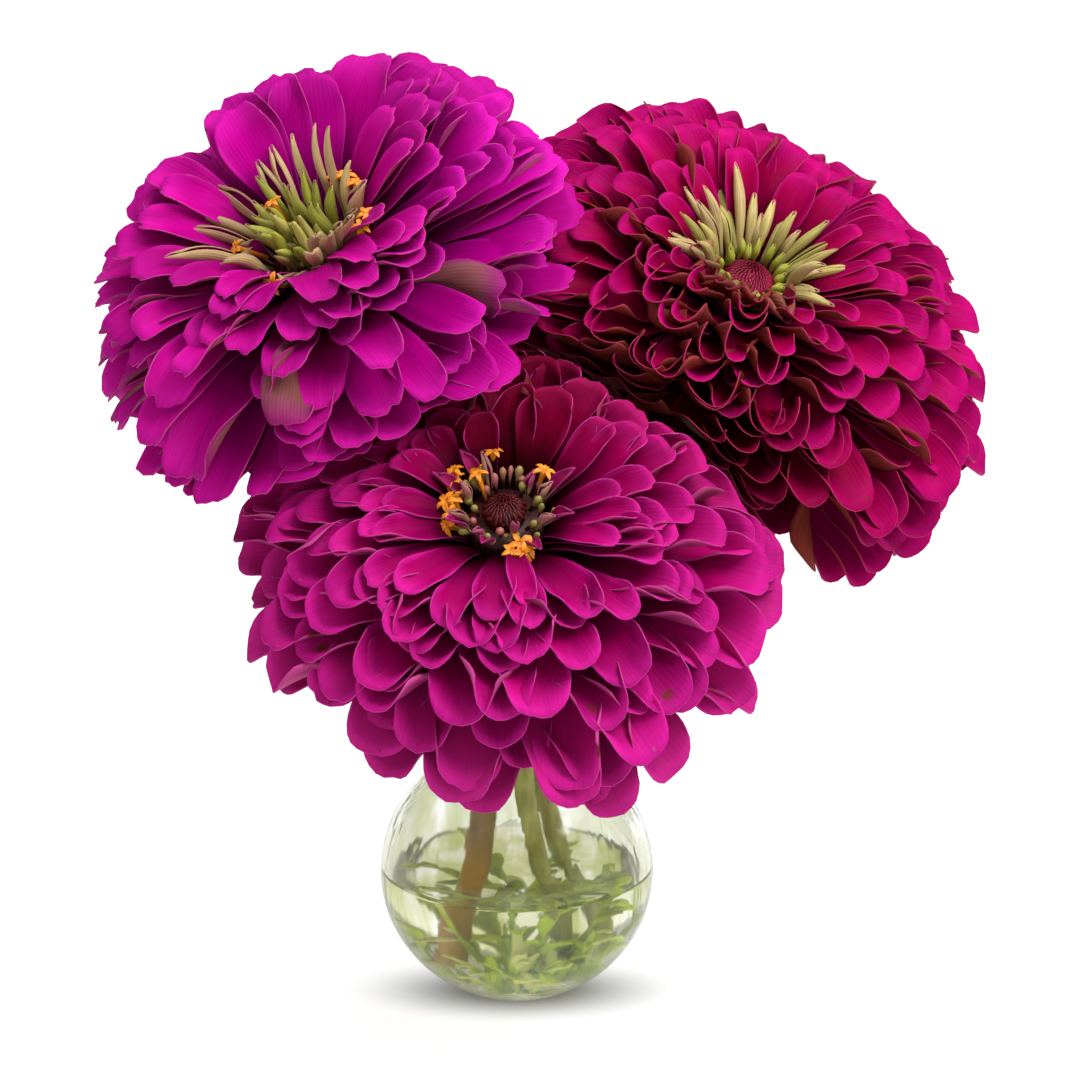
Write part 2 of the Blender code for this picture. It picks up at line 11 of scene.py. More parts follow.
import bpy
import numpy as np
from bpy.props import FloatProperty, FloatVectorProperty, IntProperty, PointerProperty
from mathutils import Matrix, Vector


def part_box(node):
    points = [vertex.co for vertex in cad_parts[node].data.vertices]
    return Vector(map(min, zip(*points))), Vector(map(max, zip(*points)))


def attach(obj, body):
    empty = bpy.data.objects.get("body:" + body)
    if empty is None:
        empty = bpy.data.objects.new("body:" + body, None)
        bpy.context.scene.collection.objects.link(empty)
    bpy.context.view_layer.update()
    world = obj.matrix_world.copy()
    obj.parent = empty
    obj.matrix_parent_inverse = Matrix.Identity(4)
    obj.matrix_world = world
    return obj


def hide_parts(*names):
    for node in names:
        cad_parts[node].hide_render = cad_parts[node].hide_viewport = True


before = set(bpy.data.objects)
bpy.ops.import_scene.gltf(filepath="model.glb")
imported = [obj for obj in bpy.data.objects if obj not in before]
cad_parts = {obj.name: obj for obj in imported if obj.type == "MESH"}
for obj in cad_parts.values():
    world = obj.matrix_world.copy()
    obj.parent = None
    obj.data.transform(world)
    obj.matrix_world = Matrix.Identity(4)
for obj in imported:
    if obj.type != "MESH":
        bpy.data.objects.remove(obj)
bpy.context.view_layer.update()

bl_info = {
    "name": "Zinnias in a Glass Vase",
    "version": (1, 0, 0),
    "blender": (4, 5, 0),
    "location": "View3D > Sidebar > Zinnias",
    "description": "Grows double zinnia blooms and stands them in a small round vase of water",
    "category": "Add Mesh",
}

MM = 0.001
GOLDEN_ANGLE = math.radians(137.50776)
UP = np.array((0.0, 0.0, 1.0))
ACROSS = (0.31, 0.93, 0.2)  # a direction that no stem or sprig runs along

# The vase's sizes. Its width, its rim's height and the water's level come from the frame.
VASE_LOW, VASE_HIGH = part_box("vase")
BALL_RADIUS = (VASE_HIGH[0] - VASE_LOW[0]) / 2 + 0.05 * MM
RIM_HEIGHT = VASE_HIGH[2]
FLAT_RADIUS = 10.5 * MM
FOOT_RADIUS = 5.0 * MM
WALL = 2.2 * MM
BASE_THICKNESS = 6.0 * MM
NECK_RADIUS = 11.6 * MM
NECK_HEIGHT = RIM_HEIGHT - 6.5 * MM
LIP_RADIUS = 14.5 * MM
BALL_CENTRE = math.sqrt(BALL_RADIUS**2 - FLAT_RADIUS**2)
WATER_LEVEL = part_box("water")[1][2]

# A bloom's heart is its place in mm, and axis the way it faces. grid is a petal's columns and rows,
# back_lift how far the petals of the upper side are raised and tooth how deep the teeth of the tips
# are, both in mm, and unruly how much of the SPREADS its petals have.
# Each row of the table is one age of petal: age (0 next to the heart, 1 at the rim), the root's radius
# and height, the tip's radius and height, all in mm, the slope at the root and at the tip in degrees,
# the half width in mm, the trough, half the angle that the cross-section turns through, in radians,
# how far the rim of the tip is lifted into a spoon, and how far the margin waves, both in mm.
# A sector is an azimuth and a spread in degrees, the youngest and the oldest age that it reaches, and
# what is added to the petals there, as far as it is given: to the tip's radius and height in mm, the
# tip's slope in degrees, the half width in mm, the trough in radians, and the wave in mm. A turned
# petal is an azimuth in degrees, an age, and how far the petal turns over and how far it lifts towards
# its tip, in degrees. Where petals are thinned out there is an azimuth and a spread, the youngest and
# the oldest age, and the share that is missing. Where light or shade is painted on the petals there is
# the same, and the factor that their colour is multiplied by, 1 for none: below 1 it is painted shade,
# darker and redder, and above 1 painted light, lighter and bluer.
BLOOMS = {
    "front": {
        "heart": (-2.1, -45.0, 121.6),
        "axis": (0.0, -0.574, 0.819),
        "petals": 190,
        "grid": (13, 15),
        "seed": 11,
        "back_lift": 0.0,
        "unruly": 0.95,
        "turned": ((100, 0.3, 60, 0), (75, 0.25, -70, 0), (205, 0.4, -45, 0), (330, 0.8, 50, 0)),
        "thinned": ((90, 50, 0.0, 0.5, 0.5), (270, 180, 0.0, 0.1, 0.35)),
        # Painted shade on the back petals, under the overhanging left and right blooms.
        "shaded": ((88, 60, 0.0, 0.75, 0.36),),
        "tooth": 0.12,
        "table": (
            (0.00, 8.5, -1.5, 23.0, 5.0, 54, 18, 3.2, 0.85, 0.8, 0.2),
            (0.06, 9.0, -3.0, 27.5, 6.0, 48, 8, 3.9, 0.85, 1.2, 0.3),
            (0.16, 9.0, -5.5, 32.5, 5.0, 42, -2, 5.0, 0.85, 1.7, 0.4),
            (0.28, 9.0, -8.5, 38.0, 1.5, 38, -10, 5.9, 0.85, 2.1, 0.5),
            (0.45, 9.0, -12.0, 45.0, -4.5, 32, -18, 6.8, 0.85, 2.5, 0.6),
            (0.66, 9.0, -16.0, 51.0, -13.5, 22, -26, 7.5, 0.8, 2.6, 0.7),
            (0.84, 9.0, -20.0, 53.0, -23.0, 8, -34, 7.8, 0.75, 2.4, 0.9),
            (1.00, 9.0, -22.0, 51.0, -31.0, -4, -42, 7.8, 0.7, 2.2, 1.0),
        ),
        "sectors": (
            (291, 17, 0.4, 1.0, 7.0, -2.0),
            (345, 25, 0.4, 1.0, 3.5),
            (320, 20, 0.6, 1.0, 2.0),
            (182, 16, 0.4, 1.0, 2.5),
            (233, 20, 0.4, 1.0, -1.5),
            (270, 55, 0.0, 0.2, 4.0, -2.5, -14.0),
            (90, 46, 0.0, 0.4, -4.0, 5.5, 40.0, 0.6),
        ),
    },
    "left": {
        "heart": (-43.5, -4.0, 170.0),
        "axis": (-0.35, -0.5, 0.79),
        "petals": 216,
        "grid": (13, 15),
        "seed": 5,
        "back_lift": 3.0,
        "unruly": 1.3,
        "turned": (
            (300, 0.4, 40, 0), (245, 0.5, -40, 0), (340, 0.62, 30, 0), (288, 0.47, 165, 4), (1, 0.6, -160, 6),
            (225, 0.45, 50, 10), (262, 0.3, -45, 14), (318, 0.3, 40, 8), (205, 0.6, -55, 0), (235, 0.75, 60, 0),
        ),
        "thinned": ((125, 60, 0.0, 0.3, 0.4), (288, 9, 0.26, 0.44, 1.0), (1, 9, 0.35, 0.58, 1.0)),
        # Painted light on the right side, and a little on the young petals of the upper left.
        "shaded": ((20, 50, 0.2, 1.0, 1.2), (135, 40, 0.0, 0.3, 1.1)),
        "tooth": 0.3,
        "table": (
            (0.00, 8.5, -2.5, 27.0, 18.0, 60, 30, 4.0, 0.7, 0.5, 0.3),
            (0.085, 9.0, -4.0, 33.5, 16.0, 52, 16, 5.0, 0.55, 0.6, 0.3),
            (0.20, 9.0, -7.0, 39.5, 12.0, 43, 2, 5.8, 0.45, 0.6, 0.5),
            (0.39, 9.0, -11.0, 46.5, 4.0, 34, -11, 6.4, 0.4, 0.6, 0.8),
            (0.64, 9.0, -14.5, 51.5, -7.0, 20, -24, 6.8, 0.35, 0.5, 1.1),
            (1.00, 9.0, -18.0, 50.0, -24.0, 0, -42, 7.2, 0.3, 0.4, 1.2),
        ),
        "sectors": (
            (142, 42, 0.25, 1.0, -6.5, -2.5),
            (196, 26, 0.3, 1.0, -2.5),
            (245, 14, 0.4, 1.0, -3.0),
            (90, 26, 0.25, 1.0, 1.5, 2.5),
            (40, 22, 0.25, 1.0, 4.0, 1.0),
            (272, 30, 0.3, 1.0, 8.0, -1.5),
            (246, 54, 0.2, 1.0, 0.0, 0.0, 0.0, -1.6, 0.3, 0.7),
            (66, 7, 0.2, 1.0, -5.0, -1.5),
            (277, 9, 0.7, 1.0, 5.0, -1.0),
            (120, 55, 0.0, 1.0, 0.0, 0.0, 4.0, 2.2, -0.2),
            (10, 60, 0.2, 1.0, -1.0, 0.5, 20.0, -1.0, 0.35, 0.9),
            (310, 70, 0.0, 0.16, 2.0, -7.0, -22.0, 0.0, 0.0, 0.5),
        ),
    },
    "right": {
        "heart": (50.0, 14.0, 157.5),
        "axis": (0.25, -0.55, 0.797),
        "petals": 285,
        "grid": (12, 14),
        "seed": 23,
        "back_lift": 2.0,
        "unruly": 0.95,
        "turned": (
            (150, 0.2, 60, 0), (160, 0.45, -70, 0), (100, 0.08, 70, 0), (62, 0.12, 75, 0), (30, 0.14, 80, 0),
            (180, 0.15, 0, 60), (205, 0.3, 20, 90), (290, 0.45, -20, 60), (340, 0.4, 60, 60),
            (248, 0.78, 150, 0), (256, 0.93, 165, 0), (240, 0.93, -160, 0), (266, 0.84, 140, 0),
            (232, 0.86, 170, 0), (246, 0.98, 175, 0), (262, 0.99, -165, 0), (224, 0.7, 160, 0),
        ),
        "thinned": (),
        # Painted shade on the lower left, and a little on the left side.
        "shaded": ((240, 40, 0.4, 1.0, 0.52), (170, 30, 0.3, 1.0, 0.85)),
        "tooth": 0.05,
        "table": (
            (0.00, 7.0, -2.0, 24.0, 11.5, 54, 26, 3.3, 1.0, 0.4, 0.1),
            (0.06, 7.5, -4.0, 30.5, 10.5, 48, 8, 4.4, 0.9, 1.0, 0.4),
            (0.21, 8.5, -9.0, 42.0, 5.0, 40, -8, 5.5, 0.85, 1.6, 0.6),
            (0.40, 9.0, -13.0, 51.0, -3.0, 28, -20, 6.1, 0.8, 1.9, 0.8),
            (0.61, 9.0, -17.0, 57.0, -13.0, 12, -30, 6.5, 0.75, 2.0, 0.9),
            (0.82, 9.0, -20.0, 57.0, -24.0, 0, -38, 6.8, 0.7, 1.9, 1.0),
            (1.00, 9.0, -22.0, 53.0, -33.0, -10, -46, 7.0, 0.65, 1.7, 1.0),
        ),
        "sectors": (
            (222, 48, 0.0, 0.42, -3.0, 1.0, 27.0, 1.0, 0.9, 2.2),
            (238, 34, 0.42, 1.0, -6.0, 7.0, 36.0, 0.5, 0.4, 1.4),
            (340, 28, 0.4, 1.0, -2.2),
            (142, 18, 0.4, 1.0, 2.5),
            (285, 26, 0.35, 1.0, 4.0, -2.0),
            (310, 22, 0.5, 1.0, 3.0),
            (112, 32, 0.2, 1.0, 0.0, 2.0),
            (35, 45, 0.2, 1.0, -4.5, -2.0),
        ),
    },
}

# Planes between neighbouring blooms: the bloom on the side that the normal points to, the other one,
# the normal, and the plane's distance from the origin in mm.
DIVIDES = (
    ("left", "front", (-0.34, -0.271, 0.90), 140.3),
    ("right", "front", (0.616, 0.595, 0.516), 76.9),
    ("left", "right", (-0.431, -0.615, 0.661), 104.7),
)
DIVIDE_BEND = 7.0 * MM
DIVIDE_GAP = 0.7 * MM

# The stage, in metres: the point that the camera and the lamps are aimed at, and half of the floor's
# width. The camera's two sizes are in mm.
MIDDLE = Vector((0.0051, 0.0, 0.1034))
FLOOR_REACH = 3
FOCAL_LENGTH, SENSOR_WIDTH = 123.85, 36.0

# A petal's table values after its age, by column, and what each is measured in.
TIP_RADIUS, TIP_HEIGHT, ROOT_SLOPE, TIP_SLOPE, HALF_WIDTH, TROUGH, WAVE = 2, 3, 4, 5, 6, 7, 9
DEGREE = math.pi / 180
UNITS = np.array((MM, MM, MM, MM, DEGREE, DEGREE, MM, 1, MM, MM))
SECTOR_COLUMNS = (TIP_RADIUS, TIP_HEIGHT, TIP_SLOPE, HALF_WIDTH, TROUGH, WAVE)

# How uneven petals are: the azimuth in radians, the tip's radius as a share and its height in mm, the
# slopes at root and tip in degrees, the half width and the trough as shares, the roll in degrees.
SPREADS = (0.10, 0.045, 0.9, 4, 7, 0.09, 0.3, 14)
FADE = 0.1  # how much older or younger than its ages a sector still reaches

# A petal's build. Places along it are shares of its length, and those across it of its half width.
CROWDING = 0.85  # below 1, the grid's rows lie closer together towards the tip
RISE, FALL = 0.38, 0.34  # reach of the midrib curve's two handles, in chords
TIP_DEPTH = 0.8  # depth of the rounded end, in half widths
NOTCH_AT, NOTCH_WIDTH, NOTCH_DEPTH = 0.32, 0.16, 3.5  # the depth in teeth
CLAW_WIDTH, CLAW_END, NARROWING = 0.30, 0.74, 0.10
TAPER_START, LIP_START, LIP_INSIDE = 0.45, 0.66, 0.45
FULL_TROUGH, FREE_END = 0.95, 0.95
MIDRIB_WIDTH, MIDRIB_DEPTH = 0.14, 0.35 * MM

# Stems: the cut end, the place in the vase's neck and a point above it, in mm, and the thickness.
STEMS = {
    "front": (((-11.5, -5.0, 12.5), (-4.6, -2.4, 63.0), (-4.9, -6.5, 73.0)), 2.86),
    "left": (((13.5, 4.5, 15.5), (0.4, 5.6, 63.0), (-14.0, 11.0, 97.0)), 2.6),
    "right": (((8.0, -3.0, 15.0), (1.8, -4.6, 63.0), (24.0, 22.0, 94.0)), 2.6),
}
RECEPTACLE_BOTTOM = -24.0 * MM
CALYX_RADIUS = 10.5 * MM
CALYX_DEPTH = 11.0 * MM
CALYX_BOTTOM = RECEPTACLE_BOTTOM - CALYX_DEPTH - 0.4 * MM
NAPE = 9.0 * MM


# ---------------------------------------------------------------- meshes from arrays


def add_piece(name, points, faces, uv=None, values=None, sides=None):
    """A smooth object from arrays: faces of four corners, where a triangle repeats its last corner.

    uv gives each point its place on the map "surface", values are numbers kept on the points by name,
    and sides is a number kept on each face: 0 on the upper side, 1 on the lower, 0.5 round the rim."""
    corners = np.where(faces[:, 3] == faces[:, 2], 3, 4)
    keep = np.ones(faces.shape, bool)
    keep[corners == 3, 3] = False
    loops = faces[keep]
    mesh = bpy.data.meshes.new(name)
    mesh.vertices.add(len(points))
    mesh.vertices.foreach_set("co", points.astype(np.float32).ravel())
    mesh.loops.add(len(loops))
    mesh.loops.foreach_set("vertex_index", loops.astype(np.int32))
    mesh.polygons.add(len(faces))
    starts = np.concatenate([[0], np.cumsum(corners)[:-1]])
    mesh.polygons.foreach_set("loop_start", starts.astype(np.int32))
    mesh.update(calc_edges=True)
    mesh.validate()
    mesh.shade_smooth()
    if uv is not None:
        layer = mesh.uv_layers.new(name="surface")
        layer.data.foreach_set("uv", uv[loops].astype(np.float32).ravel())
    for key, value in (values or {}).items():
        kept = mesh.attributes.new(key, "FLOAT", "POINT")
        kept.data.foreach_set("value", value.astype(np.float32))
    if sides is not None:
        kept = mesh.attributes.new("side", "FLOAT", "FACE")
        kept.data.foreach_set("value", sides.astype(np.float32))
    piece = bpy.data.objects.new(name, mesh)
    bpy.context.scene.collection.objects.link(piece)
    return piece


def closed_sheets(surfaces, thickness):
    """Points, faces and sides of thin closed sheets round (sheets, rows, columns, 3) middle surfaces.

    Each upper point is the middle one moved half of the thickness along the normal, which is the cross
    product of the directions along and across, and each lower point is moved the other way."""
    count, rows, columns = surfaces.shape[:3]
    normal = np.cross(np.gradient(surfaces, axis=1), np.gradient(surfaces, axis=2))
    normal /= np.linalg.norm(normal, axis=-1, keepdims=True) + 1e-12
    half = normal * (thickness / 2)
    size = rows * columns
    both = np.stack([surfaces + half, surfaces - half], axis=1).reshape(-1, 3)
    first = (np.arange(rows - 1)[:, None] * columns + np.arange(columns - 1)).ravel()
    upper = np.stack([first, first + columns, first + columns + 1, first + 1], axis=1)
    edge = np.concatenate([
        np.arange(columns),
        np.arange(1, rows) * columns + columns - 1,
        (rows - 1) * columns + np.arange(columns - 2, -1, -1),
        np.arange(rows - 2, 0, -1) * columns,
    ])
    ahead = np.roll(edge, -1)
    rim = np.stack([edge, ahead, ahead + size, edge + size], axis=1)
    faces = np.concatenate([upper, upper[:, ::-1] + size, rim])
    sides = np.repeat([0.0, 1.0, 0.5], [len(upper), len(upper), len(rim)])
    shift = (np.arange(count) * 2 * size)[:, None, None]
    return both, (faces[None] + shift).reshape(-1, 4), np.tile(sides, count)


def on_sheets(values):
    """Values of (sheets, rows, columns) middle points, given to both sides of closed_sheets."""
    flat = values.reshape(len(values), 1, -1)
    return np.repeat(flat, 2, axis=1).ravel()


def closed_tubes(rings):
    """Points and faces of closed tubes from (tubes, rings, sides, 3) rings, each end fanned to its middle."""
    count, length, around = rings.shape[:3]
    ends = rings[:, [0, -1]].mean(axis=2)
    points = np.concatenate([rings.reshape(count, -1, 3), ends], axis=1)
    first = np.arange(length - 1)[:, None] * around + np.arange(around)
    after = np.arange(length - 1)[:, None] * around + (np.arange(around) + 1) % around
    walls = np.stack([first, after, after + around, first + around], axis=-1).reshape(-1, 4)
    here, there = np.arange(around), (np.arange(around) + 1) % around
    low = np.full(around, length * around)
    high, top = low + 1, (length - 1) * around
    bottom_cap = np.stack([there, here, low, low], axis=1)
    top_cap = np.stack([top + here, top + there, high, high], axis=1)
    faces = np.concatenate([walls, bottom_cap, top_cap])
    shift = (np.arange(count) * (length * around + 2))[:, None, None]
    return points.reshape(-1, 3), (faces[None] + shift).reshape(-1, 4)


def on_tubes(values):
    """Values of (tubes, rings, sides) points, with those of the two end points that closed_tubes adds."""
    ends = values[:, [0, -1]].mean(axis=2)
    return np.concatenate([values.reshape(len(values), -1), ends], axis=1).ravel()


def tube_rings(path, radius, around, phase=0.0):
    """Rings round a path of points: circles square to the path, carried along it without a twist."""
    path = np.asarray(path, float)
    ahead = np.gradient(path, axis=0)
    ahead /= np.linalg.norm(ahead, axis=1, keepdims=True)
    side = np.zeros_like(path)
    start = np.cross(ahead[0], ACROSS)
    for k, direction in enumerate(ahead):
        start = start - direction * (start @ direction)
        start = start / np.linalg.norm(start)
        side[k] = start
    other = np.cross(ahead, side)
    turn = np.linspace(0, math.tau, around, endpoint=False) + phase
    spread = np.cos(turn)[None, :, None] * side[:, None] + np.sin(turn)[None, :, None] * other[:, None]
    radius = np.broadcast_to(radius, (len(path), around))
    return path[:, None] + radius[..., None] * spread


def joined(*parts):
    """One pair of points and faces from several."""
    shifts = np.cumsum([0] + [len(points) for points, _ in parts[:-1]])
    faces = np.concatenate([faces + shift for (_, faces), shift in zip(parts, shifts)])
    return np.concatenate([points for points, _ in parts]), faces


def about_axis(out, side, up, turn):
    """Points so far out from the axis at an azimuth, so far sideways of that line, and so far up."""
    x = out * np.cos(turn) - side * np.sin(turn)
    y = out * np.sin(turn) + side * np.cos(turn)
    return np.stack(np.broadcast_arrays(x, y, up), axis=-1)


def spun_solid(profile, segments):
    """Points and faces of a closed solid of revolution.

    The profile's points are (radius, height), from the axis to the axis. Each of them but the two ends
    is carried once round the axis, and the ends stay single points."""
    profile = np.asarray(profile, float)
    turn = np.linspace(0, math.tau, segments, endpoint=False)
    rings = about_axis(profile[1:-1, :1], 0, profile[1:-1, 1:], turn).reshape(-1, 3)
    points = np.concatenate([[UP * profile[0, 1]], rings, [UP * profile[-1, 1]]])
    here = np.arange(segments)
    there = (here + 1) % segments
    first = 1 + np.arange(len(profile) - 3)[:, None] * segments
    walls = np.stack([first + here, first + there, first + segments + there, first + segments + here], -1)
    last = len(points) - 1
    top_ring = last - segments
    zero, end = np.zeros(segments, int), np.full(segments, last)
    low = np.stack([there + 1, here + 1, zero, zero], axis=1)
    high = np.stack([top_ring + here, top_ring + there, end, end], axis=1)
    return points, np.concatenate([walls.reshape(-1, 4), low, high])


def arc(radius, centre, start, end, steps):
    """Points (radius, height) on a circle about (0, centre), between two angles above the horizon."""
    angles = np.linspace(start, end, steps)
    return np.stack([radius * np.cos(angles), centre + radius * np.sin(angles)], axis=1)


def smooth_path(knots, steps):
    """Points on a Catmull-Rom curve through the knots."""
    knots = np.asarray(knots, float)
    padded = np.vstack([2 * knots[0] - knots[1], knots, 2 * knots[-1] - knots[-2]])
    t = np.linspace(0, 1, steps, endpoint=False)[:, None]
    spans = [
        b + 0.5 * ((c - a) * t + (2 * a - 5 * b + 4 * c - d) * t**2 + (3 * b - a - 3 * c + d) * t**3)
        for a, b, c, d in zip(padded, padded[1:], padded[2:], padded[3:])
    ]
    return np.vstack([*spans, knots[-1:]])


# ---------------------------------------------------------------- how a bloom grows


def bloom_axes(name):
    """Columns x, y and z of a bloom's frame."""
    z = np.array(BLOOMS[name]["axis"], float)
    z /= np.linalg.norm(z)
    y = np.array((0.0, 0.0, 1.0)) - z * z[2]
    y /= np.linalg.norm(y)
    return np.stack([np.cross(y, z), y, z], axis=1)


def to_world(name, points):
    """Points of a bloom's frame, turned and moved to its place."""
    return points @ bloom_axes(name).T + np.array(BLOOMS[name]["heart"]) * MM


def eased_apart(name, points):
    """World points of a bloom, moved off the planes that divide it from its neighbours.

    Within the bend of a plane a distance d becomes bend * exp(d / bend - 1), so none crosses it."""
    for above, below, direction, offset in DIVIDES:
        if name not in (above, below):
            continue
        side = 1.0 if name == above else -1.0
        normal = side * np.array(direction) / np.linalg.norm(direction)
        distance = points @ normal - side * offset * MM - DIVIDE_GAP
        eased = DIVIDE_BEND * np.exp(np.minimum(distance / DIVIDE_BEND - 1, 0))
        points = points + np.where(distance < DIVIDE_BEND, eased - distance, 0.0)[..., None] * normal
    return points


def from_table(table, ages):
    """The table's other columns at these ages, by a smooth cubic between its rows."""
    rows = np.asarray(table, float)
    at, values = rows[:, 0], rows[:, 1:]
    slopes = np.gradient(values, at, axis=0)
    k = np.clip(np.searchsorted(at, ages) - 1, 0, len(at) - 2)
    step = (at[k + 1] - at[k])[:, None]
    q = (ages[:, None] - at[k][:, None]) / step
    return (
        (2 * q**3 - 3 * q**2 + 1) * values[k]
        + (q**3 - 2 * q**2 + q) * slopes[k] * step
        + (3 * q**2 - 2 * q**3) * values[k + 1]
        + (q**3 - q**2) * slopes[k + 1] * step
    )


def petal_grid(columns, rows):
    """The grid's across and along values, closer together towards the margins and the tip."""
    across = np.sin(np.linspace(-1, 1, columns) * math.pi / 2)
    along = np.linspace(0, 1, rows) ** CROWDING
    return across, along


def cubic(t, a, b, c, d):
    """A cubic Bezier curve's value and its direction, of no special length, at t."""
    value = (1 - t) ** 3 * a + 3 * t * (1 - t) ** 2 * b + 3 * t**2 * (1 - t) * c + t**3 * d
    return value, (1 - t) ** 2 * (b - a) + 2 * t * (1 - t) * (c - b) + t**2 * (d - c)


def between(x, low, high):
    """Share of the way from low to high, kept between 0 and 1."""
    return np.clip((x - low) / (high - low), 0, 1)


def smooth(x):
    """3x^2 - 2x^3, for x kept between 0 and 1."""
    x = np.clip(x, 0, 1)
    return 3 * x**2 - 2 * x**3


def petal_surfaces(values, angles, rolls, waves, tooth, grid, claw=0.3, taper=0.0):
    """Middle surfaces, in the bloom's frame, of petals with these table values, azimuths and rolls.

    Radius and height are the real and the imaginary part of one number, in which the midrib is a cubic
    Bezier curve. The half width swells from a narrow claw as (3q^2 - 2q^3)^0.8 with q = along /
    CLAW_END, and the taper narrows it again towards the tip. The end is a half ellipse cut by a notch
    on each side and by small teeth. Each cross-section is an arc, whose angle is the trough times the
    claw's share at the root, and nearly all of it where the petal is free of the younger ones. There
    the rim of the tip is lifted by the square of its distance from the middle. The margin waves by a
    sine along the petal, and the midrib is a shallow groove."""
    across, along = grid
    u, v = across[None, None, :], along[None, :, None]
    columns = values.T[:, :, None, None] * UNITS[:, None, None, None]
    root_r, root_z, tip_r, tip_z, root_slope, tip_slope, half_width, trough, lip, wave = columns
    first, second, third = waves.T[:, :, None, None] * math.tau
    root, tip = root_r + 1j * root_z, tip_r + 1j * tip_z
    chord = np.abs(tip - root)
    end = TIP_DEPTH * half_width / chord * (1 - np.sqrt(np.clip(1 - u**2, 0, 1)))
    notches = np.exp(-(((np.abs(u) - NOTCH_AT) / NOTCH_WIDTH) ** 2))
    notches = notches * (np.sin(third + 1.3 * np.sign(u)) > 0.1)
    teeth = np.sin(7 * u + first) + 0.7 * np.sin(13 * u + second) - NOTCH_DEPTH * notches
    t = v * (1 - end * v**3 + tooth * MM / chord * teeth * v**6)
    rise = root + RISE * chord * np.exp(1j * root_slope)
    fall = tip - FALL * chord * np.exp(1j * tip_slope)
    place, ahead = cubic(t, root, rise, fall, tip)
    ahead = ahead / np.abs(ahead)
    width = half_width * (CLAW_WIDTH + (1 - CLAW_WIDTH) * smooth(v / CLAW_END) ** 0.8)
    width = width * (1 - NARROWING * between(v, CLAW_END, 1) ** 2)
    width = width * (1 - taper * between(v, TAPER_START, 1) ** 2)
    covered = 0.30 + 0.35 * between(tip_r / MM, 25, 40)
    free = smooth((v - covered) / (FREE_END - covered))
    bend = np.maximum(trough * (claw + (FULL_TROUGH - claw) * free), 0.02)
    sideways = width * np.sin(bend * u) / bend
    upward = width * (1 - np.cos(bend * u)) / bend
    from_middle = np.sqrt(np.clip(u**2 + between(v, LIP_START, 1) ** 2, 0, 1))
    upward = upward + lip * between(from_middle, LIP_INSIDE, 1) ** 2 * free
    upward = upward + wave * u**2 * v**2 * np.sin(6 * v + third + 1.7 * np.sign(u))
    upward = upward - MIDRIB_DEPTH * np.exp(-((u / MIDRIB_WIDTH) ** 2)) * np.clip(3 * v * (1 - v), 0, 1)
    section = (sideways + 1j * upward) * np.exp(1j * rolls[:, None, None] * v**1.5)
    place = place + 1j * ahead * section.imag
    return about_axis(place.real, section.real, place.imag, angles[:, None, None])


def sheet_maps(surfaces, grid):
    """The uv map of sheets: across from 0 to 1 and along from 0 to 1."""
    across, along = grid
    shape = surfaces.shape[:3]
    u = np.broadcast_to(across[None, None, :] / 2 + 0.5, shape)
    v = np.broadcast_to(along[None, :, None], shape)
    return np.stack([on_sheets(u), on_sheets(v)], axis=1)


def petal_piece(piece_name, bloom_name, surfaces, grid, kept, thickness):
    """One piece from petals' middle surfaces, which are in the bloom's frame.

    kept holds numbers of each petal by name, which the piece keeps on its points."""
    placed = eased_apart(bloom_name, to_world(bloom_name, surfaces))
    points, faces, sides = closed_sheets(placed, thickness)
    values = {
        key: on_sheets(np.broadcast_to(value[:, None, None], surfaces.shape[:3]))
        for key, value in kept.items()
    }
    return add_piece(piece_name, points, faces, sheet_maps(surfaces, grid), values, sides)


def degrees_apart(angles, azimuth):
    """How far azimuths in radians lie from one in degrees, from -180 to 180 degrees."""
    return (np.degrees(angles) - azimuth + 180) % 360 - 180


def sector_share(angles, ages, azimuth, spread, youngest, oldest):
    """1 in the middle of a sector. It falls as exp(-(distance / spread)^2), and past its ages."""
    share = np.exp(-((degrees_apart(angles, azimuth) / spread) ** 2))
    return share * between(ages, youngest - FADE, youngest) * between(-ages, -oldest - FADE, -oldest)


